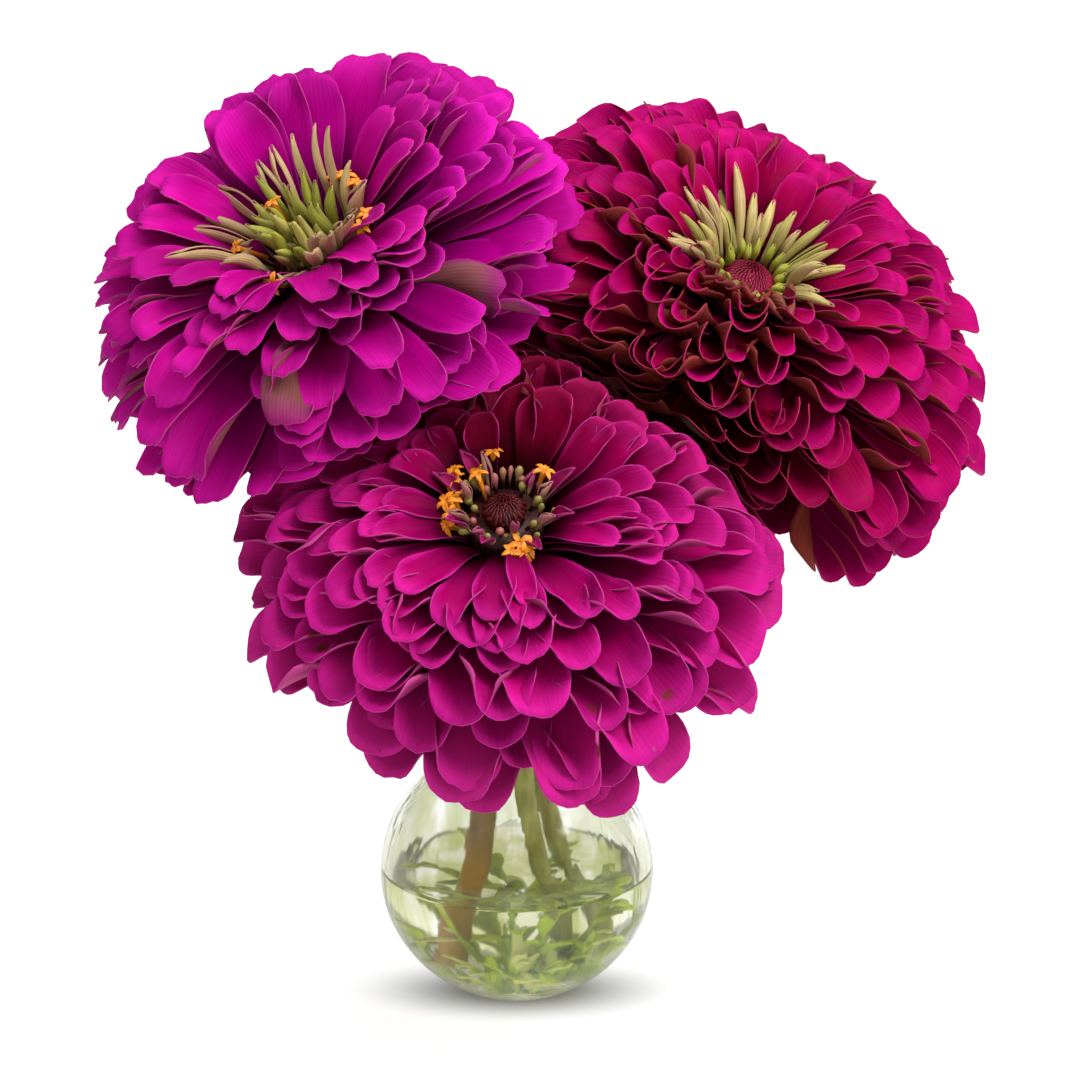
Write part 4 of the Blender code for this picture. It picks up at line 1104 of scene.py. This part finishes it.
def calyx_piece(name):
    """The cup under a bloom: a bell-shaped core with five rows of overlapping rounded bracts.

    A bract is a sheet whose half width is sin(pi * (0.25 + 0.6 t)) ^ 0.6, bent round the cup."""
    across, along = petal_grid(7, 7)
    u, v = across[None, None, :], along[None, :, None]
    counts = (7, 9, 11, 12, 13)
    rows = np.repeat(np.arange(5), counts)
    number = np.concatenate([np.arange(n) / n for n in counts])
    angle = (number * math.tau + rows * 0.4)[:, None, None]
    low = np.array((0.0, 1.2, 3.0, 5.0, 7.2))[rows][:, None, None] * MM
    length = np.array((4.0, 4.6, 5.0, 5.4, 5.8))[rows][:, None, None] * MM
    rise = low + length * v
    bell = np.sin(np.clip(rise / CALYX_DEPTH, 0, 1.05) * math.pi / 2 / 1.05) ** 0.8
    bell = CALYX_RADIUS * (0.26 + 0.76 * bell) + (0.25 + 0.5 * v**2) * MM
    half = 2.4 * MM * np.sin(math.pi * (0.25 + 0.6 * v)) ** 0.6
    turn = angle + half * u / np.maximum(bell, 2 * MM)
    height = CALYX_BOTTOM + rise - 0.9 * MM * np.abs(u) ** 2.2 * v**3
    surfaces = about_axis(bell, 0, height, turn)
    share = np.linspace(0, 1, 9)
    wall = CALYX_RADIUS * (0.24 + 0.76 * np.sin(share * math.pi / 2) ** 0.8)
    wall = np.stack([wall, CALYX_BOTTOM + CALYX_DEPTH * share], axis=1)
    profile = np.vstack([(0.0, CALYX_BOTTOM - 0.2 * MM), wall, (0.0, CALYX_BOTTOM + CALYX_DEPTH)])
    points, faces = joined(closed_sheets(surfaces[:, :, ::-1], 0.45 * MM)[:2], spun_solid(profile, 32))
    return add_piece(f"stem_{name}_calyx", to_world(name, points), faces)


def receptacle_piece(name):
    """The dark cone inside a bloom, which its petals grow from, from its foot to the heart's floor. Its
    near-black colour is painted shade, deep between the petals' roots.

    Each of its rings lies a little inside and below the roots of the petals of one age."""
    rings = [(r - 1.0, z - 0.5) for _, r, z in np.array(BLOOMS[name]["table"])[::-1, :3]]
    low = RECEPTACLE_BOTTOM / MM
    profile = np.array([(0.0, low), (8.0, low), *rings, (0.0, rings[-1][1] - 0.6)]) * MM
    points, faces = spun_solid(profile, 40)
    return add_piece(f"petals_{name}_cone", to_world(name, points), faces)


def leaf_surfaces(starts, turns, slopes, lengths, widths, grid):
    """Narrow leaves that leave their starts and arch over.

    The half width is sin(pi t ^ 0.8) ^ 0.8, and the height falls by 0.24 t^2 of the length."""
    across, along = grid
    u, v = across[None, None, :], along[None, :, None]
    leaves = (np.radians(turns), np.radians(slopes), lengths * MM, widths * MM)
    turn, slope, length, width = (value[:, None, None] for value in leaves)
    half = width * (0.08 + np.sin(math.pi * v**0.8) ** 0.8)
    up = length * (v * np.sin(slope) - 0.24 * v**2) + 0.35 * half * np.abs(u) ** 1.5
    return about_axis(length * v * np.cos(slope), half * u, up, turn) + starts[:, None, None] * MM


# Sprigs in the water: root and tip in mm, how many leaves, their length and half width in mm, and
# how pale they are, from 0 for dark green to 1 for nearly white.
SPRIGS = (
    ((0.0, -1.0, 10.5), (-1.0, -12.0, 27.0), 9, 11.0, 1.7, 0.4),
    ((1.0, -3.0, 10.5), (6.0, -14.0, 24.0), 8, 11.0, 1.6, 0.4),
    ((2.0, -1.0, 10.5), (18.5, -11.0, 27.0), 9, 12.0, 1.8, 0.35),
    ((-2.0, 3.0, 10.5), (-19.0, 2.0, 28.0), 9, 11.0, 1.3, 0.45),
    ((1.0, 1.0, 10.5), (-8.0, 14.0, 27.0), 8, 12.0, 1.6, 0.55),
    ((1.5, 1.0, 10.5), (9.0, 13.0, 27.5), 8, 12.0, 1.6, 0.5),
    ((3.0, 0.0, 9.5), (19.0, 3.0, 18.0), 7, 12.0, 2.6, 0.6),
    ((-3.0, 0.0, 9.0), (-18.0, -3.0, 17.0), 7, 11.0, 1.8, 0.65),
    ((0.5, -1.0, 8.0), (5.0, -13.0, 12.5), 10, 14.0, 1.2, 0.6),
    ((-0.5, -1.0, 8.0), (-6.0, -11.0, 12.0), 10, 14.0, 1.2, 0.6),
    ((0.0, 0.0, 8.0), (0.0, -14.0, 14.0), 10, 14.0, 1.0, 0.85),
    ((0.0, -2.0, 9.0), (-16.0, -12.0, 27.0), 5, 15.0, 0.9, 0.95),
    ((0.0, -2.0, 9.0), (15.0, -12.0, 20.0), 5, 14.0, 0.9, 0.9),
)


def greens_piece():
    """Sprigs of narrow leaves. A sprig's stalk bends up to its tip, and its leaves leave it by turns.

    A leaf's point that lies beyond the glass is drawn back to it along the line to the ball's centre."""
    draw = np.random.default_rng(41)
    grid = petal_grid(5, 8)
    sheets, tubes = [], []
    for root, tip, count, length, width, _ in SPRIGS:
        root, tip = np.array(root), np.array(tip)
        bend = (root + tip) / 2 - 2.5 * UP
        path = smooth_path((root, bend, tip), 6)
        tubes.append(tube_rings(path * MM, 0.55 * MM, 8))
        share = (np.arange(count) + 1.0) / count
        at = np.linspace(0, 1, len(path))
        starts = np.stack([np.interp(share, at, path[:, k]) for k in range(3)], axis=1)
        ahead = np.degrees(math.atan2(tip[1] - root[1], tip[0] - root[0]))
        turns = ahead + 70 * np.cos(np.arange(count) * 2.2) * (1.15 - share) + draw.normal(size=count) * 14
        slopes = 34 + 22 * draw.normal(size=count)
        lengths = length * draw.uniform(0.6, 1.05, count)
        widths = width * draw.uniform(0.75, 1.25, count)
        sheets.append(leaf_surfaces(starts, turns, slopes, lengths, widths, grid))
    surfaces = np.concatenate(sheets)
    limit = BALL_RADIUS - WALL - 1.2 * MM
    away = surfaces - UP * BALL_CENTRE
    reach = np.linalg.norm(away, axis=-1, keepdims=True)
    surfaces = UP * BALL_CENTRE + away * np.minimum(1, limit / reach)
    stalks = closed_tubes(np.stack(tubes))
    points, faces = joined(closed_sheets(surfaces[:, :, ::-1], 0.4 * MM)[:2], stalks)
    tones = [np.clip(tone + 0.22 * draw.normal(size=count), 0, 1) for *_, count, _, _, tone in SPRIGS]
    tones = on_sheets(np.broadcast_to(np.concatenate(tones)[:, None, None], surfaces.shape[:3]))
    values = {"tone": np.concatenate([tones, np.full(len(stalks[0]), 0.35)])}
    return add_piece("greens_sprigs", points, faces, values=values)


# ---------------------------------------------------------------- settings


def tint(name, default):
    """A colour that a user may change."""
    return FloatVectorProperty(
        name=name, description=f"{name}, as linear red, green and blue", subtype="COLOR", size=3,
        min=0.0, max=1.0, default=default,
    )


def petal_thickness(default):
    """A petal's thickness, which a user may change."""
    return FloatProperty(
        name="Petal thickness", description="Thickness of a petal", default=default, unit="LENGTH",
    )


def petal_painted_shade_reach(default):
    """How far a petal's dark root, mostly painted shade, reaches along it, which a user may change."""
    return FloatProperty(
        name="Hollow", description="Share of the length that is darker than the body",
        default=default, min=0.2, max=1.0,
    )


class FrontBloomSettings(bpy.types.PropertyGroup):
    """Sizes and colours of the low front bloom."""

    thickness: petal_thickness(0.24 * MM)
    # The root's dark colour is mostly painted shade; the rim and the thin margin are partly painted highlight.
    root: tint("Upper side at the root", (0.035, 0.0, 0.006))
    hollow: petal_painted_shade_reach(0.82)
    body: tint("Upper side of the body", (0.37, 0.0001, 0.11))
    rim: tint("Upper side at the rim", (0.56, 0.011, 0.25))
    back_root: tint("Back at the root", (0.30, 0.16, 0.08))
    back_body: tint("Back of the body", (0.30, 0.02, 0.12))
    back_rim: tint("Back at the rim", (0.50, 0.06, 0.24))
    margin: tint("Thin margin", (0.52, 0.04, 0.26))
    aged: tint("Oldest petals", (0.56, 0.025, 0.23))


class LeftBloomSettings(bpy.types.PropertyGroup):
    """Sizes and colours of the tall left bloom."""

    thickness: petal_thickness(0.24 * MM)
    # The root's dark colour is mostly painted shade; the rim and the thin margin are partly painted highlight.
    root: tint("Upper side at the root", (0.10, 0.0, 0.055))
    hollow: petal_painted_shade_reach(0.66)
    body: tint("Upper side of the body", (0.43, 0.0003, 0.20))
    rim: tint("Upper side at the rim", (0.52, 0.007, 0.27))
    back_root: tint("Back at the root", (0.30, 0.24, 0.08))
    back_body: tint("Back of the body", (0.32, 0.11, 0.10))
    back_rim: tint("Back at the rim", (0.36, 0.02, 0.17))
    margin: tint("Thin margin", (0.52, 0.05, 0.25))
    aged: tint("Oldest petals", (0.42, 0.001, 0.19))


class RightBloomSettings(bpy.types.PropertyGroup):
    """Sizes and colours of the right bloom."""

    thickness: petal_thickness(0.22 * MM)
    # The root's dark colour is mostly painted shade; the rim and the thin margin are partly painted highlight.
    root: tint("Upper side at the root", (0.04, 0.0, 0.004))
    hollow: petal_painted_shade_reach(0.86)
    body: tint("Upper side of the body", (0.35, 0.0001, 0.058))
    rim: tint("Upper side at the rim", (0.46, 0.003, 0.145))
    back_root: tint("Back at the root", (0.20, 0.12, 0.02))
    back_body: tint("Back of the body", (0.19, 0.022, 0.02))
    back_rim: tint("Back at the rim", (0.24, 0.035, 0.035))
    margin: tint("Thin margin", (0.42, 0.03, 0.10))
    aged: tint("Oldest petals", (0.38, 0.0005, 0.11))


class HeartSettings(bpy.types.PropertyGroup):
    """Colours of the hearts."""

    quill_pale: tint("Pale quills", (0.64, 0.47, 0.22))
    quill_green: tint("Green quills", (0.38, 0.39, 0.05))
    floret: tint("Open florets", (0.85, 0.26, 0.01))
    bud: tint("Buds", (0.30, 0.26, 0.06))
    scale: tint("Scales of the dome", (0.055, 0.001, 0.003))
    scale_right: tint("Scales of the right dome", (0.15, 0.0003, 0.022))
    # Near black: painted shade deep in the heart, on the cones and at the buds' feet.
    floor: tint("Floor of the heart", (0.035, 0.003, 0.003))


class StemSettings(bpy.types.PropertyGroup):
    """Colours of stems, calyces and the greens in the water."""

    green: tint("Green stems", (0.24, 0.26, 0.08))
    brown: tint("Brown stem", (0.22, 0.16, 0.09))
    soaked: tint("Brown stem under water", (0.58, 0.31, 0.0))
    leaf: tint("Leaves", (0.62, 0.86, 0.0))
    leaf_pale: tint("Pale leaves", (0.85, 0.92, 0.45))


class VaseSettings(bpy.types.PropertyGroup):
    """Colours of the glass and the water."""

    glass: tint("Glass", (0.90, 0.89, 0.81))
    water: tint("Water", (0.90, 0.87, 0.60))
    segments: IntProperty(name="Segments", description="Steps round the vase", default=128, min=24, max=256)


class StageSettings(bpy.types.PropertyGroup):
    """The floor, the light and the camera."""

    floor: tint("Floor", (0.16, 0.16, 0.16))
    key_power: FloatProperty(
        name="Key light", description="Power of the light at the front", default=6.5, min=0.0, unit="POWER",
    )
    top_power: FloatProperty(
        name="Overhead light", description="Power of the wide light above", default=12.0, min=0.0,
        unit="POWER",
    )
    sky: FloatProperty(name="Sky", description="Strength of the light from all round", default=0.45, min=0.0)
    distance: FloatProperty(
        name="Camera distance", description="From the middle of the bunch", default=0.80, unit="LENGTH",
    )
    elevation: FloatProperty(
        name="Camera height", description="Angle above the horizon", default=math.radians(15),
        subtype="ANGLE",
    )


class ZinniaSettings(bpy.types.PropertyGroup):
    """Everything that a user would change."""

    front: PointerProperty(type=FrontBloomSettings)
    left: PointerProperty(type=LeftBloomSettings)
    right: PointerProperty(type=RightBloomSettings)
    heart: PointerProperty(type=HeartSettings)
    stem: PointerProperty(type=StemSettings)
    vase: PointerProperty(type=VaseSettings)
    stage: PointerProperty(type=StageSettings)


def declare(piece, node, material):
    """Gives a piece its material, its body and the node that it stands for."""
    piece.data.materials.append(material)
    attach(piece, "root")
    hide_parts(node)


# ---------------------------------------------------------------- operators


class ZINNIA_OT_add_vase(bpy.types.Operator):
    """Blow the small round vase: a ball with a thick base, a short neck and a rolled lip"""

    bl_idname = "zinnia.add_vase"
    bl_label = "Vase"

    def execute(self, context):
        given = context.scene.zinnia.vase
        bore, throat = BALL_RADIUS - WALL, NECK_RADIUS - WALL
        # Both walls of the ball stop short of the neck, by an angle in radians, and a curve leads on.
        shoulder = math.acos(NECK_RADIUS / BALL_RADIUS) - 0.09
        inner_shoulder = math.acos(throat / bore) - 0.10
        floor_angle = math.asin((BASE_THICKNESS - BALL_CENTRE) / bore)
        outside = arc(BALL_RADIUS, BALL_CENTRE, -math.acos(FOOT_RADIUS / BALL_RADIUS), shoulder, 44)
        flattened = BALL_CENTRE / (BALL_CENTRE - outside[0, 1])
        rise = outside[:, 1] - BALL_CENTRE
        outside[:, 1] = BALL_CENTRE + rise * np.where(rise < 0, flattened, 1)
        neck_knots = ((0.2, -1.2), (0.0, 1.2))
        lip_knots = ((-1.4, -2.0), (0.0, -0.7), (-0.5, -0.02), (-2.2, -0.5))
        neck = smooth_path([
            outside[-1],
            *((NECK_RADIUS + x * MM, NECK_HEIGHT + z * MM) for x, z in neck_knots),
            *((LIP_RADIUS + x * MM, RIM_HEIGHT + z * MM) for x, z in lip_knots),
            (throat + 0.1 * MM, NECK_HEIGHT + 1.6 * MM), (throat, NECK_HEIGHT - 1.2 * MM),
        ], 5)
        inside = arc(bore, BALL_CENTRE, inner_shoulder, floor_angle, 40)
        foot = [(0.0, 0.3 * MM), (FOOT_RADIUS - 1.4 * MM, 0.2 * MM), (FOOT_RADIUS - 0.7 * MM, 0.0)]
        profile = np.vstack([foot, outside, neck[1:-1], inside, [(0.0, BASE_THICKNESS)]])
        piece = add_piece("vase_glass", *spun_solid(profile, given.segments))
        glass = clear_material("clear glass", given.glass, roughness=0.10, ior=1.33, clear=0.985, relief=0.36)
        declare(piece, "vase", glass)
        return {"FINISHED"}


class ZINNIA_OT_add_water(bpy.types.Operator):
    """Fill the vase with water, which climbs a little up the glass"""

    bl_idname = "zinnia.add_water"
    bl_label = "Water"

    def execute(self, context):
        given = context.scene.zinnia.vase
        overlap, climb = 0.15 * MM, 0.3 * MM
        radius = BALL_RADIUS - WALL + overlap
        floor = BASE_THICKNESS - overlap
        low, high = (math.asin((level - BALL_CENTRE) / radius) for level in (floor, WATER_LEVEL))
        wall = arc(radius, BALL_CENTRE, low, high, 40)
        reach = wall[-1, 0]
        sag = np.linspace(0, 1, 14)[1:-1]
        fallen = climb * (1 - np.exp(-sag * reach / (1.6 * MM)))
        surface = np.stack([reach * (1 - sag), WATER_LEVEL - fallen], axis=1)
        profile = np.vstack([[(0.0, floor)], wall, surface, [(0.0, WATER_LEVEL - climb)]])
        piece = add_piece("water_body", *spun_solid(profile, given.segments))
        water = clear_material("water", given.water, roughness=0.04, ior=1.30, clear=0.98, relief=0.1)
        declare(piece, "water", water)
        return {"FINISHED"}


class ZINNIA_OT_add_stems(bpy.types.Operator):
    """Grow the three stems, and the cup of bracts at the head of each"""

    bl_idname = "zinnia.add_stems"
    bl_label = "Stems and calyces"

    def execute(self, context):
        given = context.scene.zinnia.stem
        green = plant_material("green stem", given.green, 2.2, 0.45, 0.5)
        brown = plant_material("brown stem", given.brown, 1.7, 0.5, 0.6, given.soaked)
        bract = plant_material("bracts", given.green, 1.6, 0.5, 0.3)
        for name in STEMS:
            declare(stem_piece(name), f"stem_{name}", brown if name == "front" else green)
            declare(calyx_piece(name), f"stem_{name}", bract)
        return {"FINISHED"}


class ZINNIA_OT_add_petals(bpy.types.Operator):
    """Grow the petals of the three blooms, each bloom as one piece, on its cone, whose near-black colour is
    painted shade
    """

    bl_idname = "zinnia.add_petals"
    bl_label = "Petals"

    def execute(self, context):
        group = petal_skin_group()
        # The cone takes the heart's floor colour, near black: painted shade deep among the petals' roots.
        cone = plant_material("cone", context.scene.zinnia.heart.floor, 2.0, 0.6, 0.3)
        for name, bloom in BLOOMS.items():
            given = getattr(context.scene.zinnia, name)
            values, angles, rolls, waves, chances, ages, tones = ray_petals(name)
            grid = petal_grid(*bloom["grid"])
            surfaces = petal_surfaces(values, angles, rolls, waves, bloom["tooth"], grid)
            # tone is each petal's factor of painted light and shade.
            kept = {"age": ages, "chance": chances, "tone": tones}
            piece = petal_piece(f"petals_{name}_rays", name, surfaces, grid, kept, given.thickness)
            declare(piece, f"petals_{name}", petal_material(f"{name} petals", group, given, name == "front"))
            declare(receptacle_piece(name), f"petals_{name}", cone)
        return {"FINISHED"}


class ZINNIA_OT_add_hearts(bpy.types.Operator):
    """Set the dome, the rolled quills, the buds and the open orange florets in each heart"""

    bl_idname = "zinnia.add_hearts"
    bl_label = "Hearts"

    def execute(self, context):
        given = context.scene.zinnia.heart
        group = bpy.data.node_groups["petal skin"]
        floret = plant_material("open florets", given.floret, 1.35, 0.45, 0.2)
        bud = bud_material("buds", given.floor, given.bud)
        dark = plant_material("dark scales", given.scale, 2.2, 0.45, 0.2)
        red = plant_material("red scales", given.scale_right, 2.2, 0.45, 0.2)
        for name in BLOOMS:
            bloom = getattr(context.scene.zinnia, name)
            quill = quill_material(f"{name} quills", group, bloom, given.quill_pale, given.quill_green)
            declare(quill_piece(name), f"heart_{name}", quill)
            declare(dome_piece(name), f"heart_{name}", red if name == "right" else dark)
            if STARS[name]:
                declare(star_piece(name), f"heart_{name}", floret)
            if BUDS[name]:
                declare(bud_piece(name), f"heart_{name}", bud)
        return {"FINISHED"}


class ZINNIA_OT_add_greens(bpy.types.Operator):
    """Stand the sprigs of narrow leaves in the water"""

    bl_idname = "zinnia.add_greens"
    bl_label = "Greens"

    def execute(self, context):
        given = context.scene.zinnia.stem
        declare(greens_piece(), "greens", leaf_material("leaves", given.leaf, given.leaf_pale))
        return {"FINISHED"}


def stand(name, data, place):
    """Puts a lamp or a camera at a place, aimed at the middle of the bunch."""
    made = bpy.data.objects.new(name, data)
    made.location = place
    made.rotation_euler = (MIDDLE - made.location).to_track_quat("-Z", "Y").to_euler()
    bpy.context.scene.collection.objects.link(made)
    return made


class ZINNIA_OT_add_stage(bpy.types.Operator):
    """Lay the pale floor, and set up the soft light and the camera"""

    bl_idname = "zinnia.add_stage"
    bl_label = "Stage"

    def execute(self, context):
        scene = context.scene
        given = scene.zinnia.stage
        corners = [(x * FLOOR_REACH, y * FLOOR_REACH, 0) for x, y in ((-1, -1), (1, -1), (1, 1), (-1, 1))]
        mesh = bpy.data.meshes.new("floor")
        mesh.from_pydata(corners, [], [(0, 1, 2, 3)])
        floor = bpy.data.objects.new("floor", mesh)
        scene.collection.objects.link(floor)
        made, tree, shader = new_material("floor", 0.7)
        shader.inputs["Base Color"].default_value = colour(given.floor)
        shader.inputs["Emission Color"].default_value = (1, 1, 1, 1)
        place = own_place(tree)
        deeper = stretched(tree, place, (1.0, 1.9, 1.0))
        away = shader_node(tree, "VectorMath", {"Vector": deeper}, operation="LENGTH").outputs["Value"]
        # The floor glows though it is no lamp, and the glow, more than its dark own colour, makes it pale.
        # The glow is least close round the vase's foot, where it paints the soft shadow, and rises a little
        # farther out, a painted brightening of the far floor.
        glow_with_painted_shadow = scaled(tree, ramped(tree, away, 0.005, 0.040), 0.86, 0.05)
        glow_with_painted_shadow = scaled(tree, ramped(tree, away, 0.1, 0.7), 0.2, glow_with_painted_shadow)
        glow_with_painted_shadow = scaled(tree, noise(tree, place, 40.0), 0.01, glow_with_painted_shadow)
        tree.links.new(glow_with_painted_shadow, shader.inputs["Emission Strength"])
        mesh.materials.append(made)

        for name, size, power, place in (
            ("key", 0.55, given.key_power, (0.45, -0.40, 0.85)),
            ("overhead", 1.5, given.top_power, (0.05, 0.0, 1.5)),
        ):
            light = bpy.data.lights.new(name, "AREA")
            light.shape = "DISK"
            light.size = size
            light.energy = power
            stand(name, light, place)

        world = bpy.data.worlds.new("studio")
        world.use_nodes = True
        tree = world.node_tree
        soft = tree.nodes["Background"]
        soft.inputs["Color"].default_value = (1, 1, 1, 1)
        soft.inputs["Strength"].default_value = given.sky
        plain = shader_node(tree, "Background", {"Color": (1, 1, 1, 1), "Strength": 1.0})
        seen = shader_node(tree, "LightPath").outputs["Is Camera Ray"]
        blended(tree, seen, soft, plain, "World Output")
        scene.world = world
        scene.view_settings.view_transform = "Standard"

        lens = bpy.data.cameras.new("camera")
        lens.lens = FOCAL_LENGTH
        lens.sensor_width = SENSOR_WIDTH
        lens.clip_start = 0.01
        back = Vector((0, -math.cos(given.elevation), math.sin(given.elevation)))
        scene.camera = stand("camera", lens, MIDDLE + given.distance * back)
        return {"FINISHED"}


class ZINNIA_PT_panel(bpy.types.Panel):
    """Buttons for each part of the bunch"""

    bl_idname = "ZINNIA_PT_panel"
    bl_label = "Zinnias in a Vase"
    bl_space_type = "VIEW_3D"
    bl_region_type = "UI"
    bl_category = "Zinnias"

    def draw(self, context):
        for operator in OPERATORS:
            self.layout.operator(operator.bl_idname)


SETTINGS = (
    FrontBloomSettings, LeftBloomSettings, RightBloomSettings, HeartSettings, StemSettings, VaseSettings,
    StageSettings, ZinniaSettings,
)
OPERATORS = (
    ZINNIA_OT_add_stage, ZINNIA_OT_add_vase, ZINNIA_OT_add_water, ZINNIA_OT_add_greens, ZINNIA_OT_add_stems,
    ZINNIA_OT_add_petals, ZINNIA_OT_add_hearts,
)


def register():
    """Adds the settings, the operators and the panel."""
    for part in (*SETTINGS, *OPERATORS, ZINNIA_PT_panel):
        bpy.utils.register_class(part)
    bpy.types.Scene.zinnia = PointerProperty(type=ZinniaSettings)


def unregister():
    """Takes them away again."""
    del bpy.types.Scene.zinnia
    for part in reversed((*SETTINGS, *OPERATORS, ZINNIA_PT_panel)):
        bpy.utils.unregister_class(part)


def main():
    """Builds the whole scene."""
    register()
    bpy.ops.zinnia.add_stage()
    bpy.ops.zinnia.add_vase()
    bpy.ops.zinnia.add_water()
    bpy.ops.zinnia.add_greens()
    bpy.ops.zinnia.add_stems()
    bpy.ops.zinnia.add_petals()
    bpy.ops.zinnia.add_hearts()


if __name__ == "__main__":
    main()
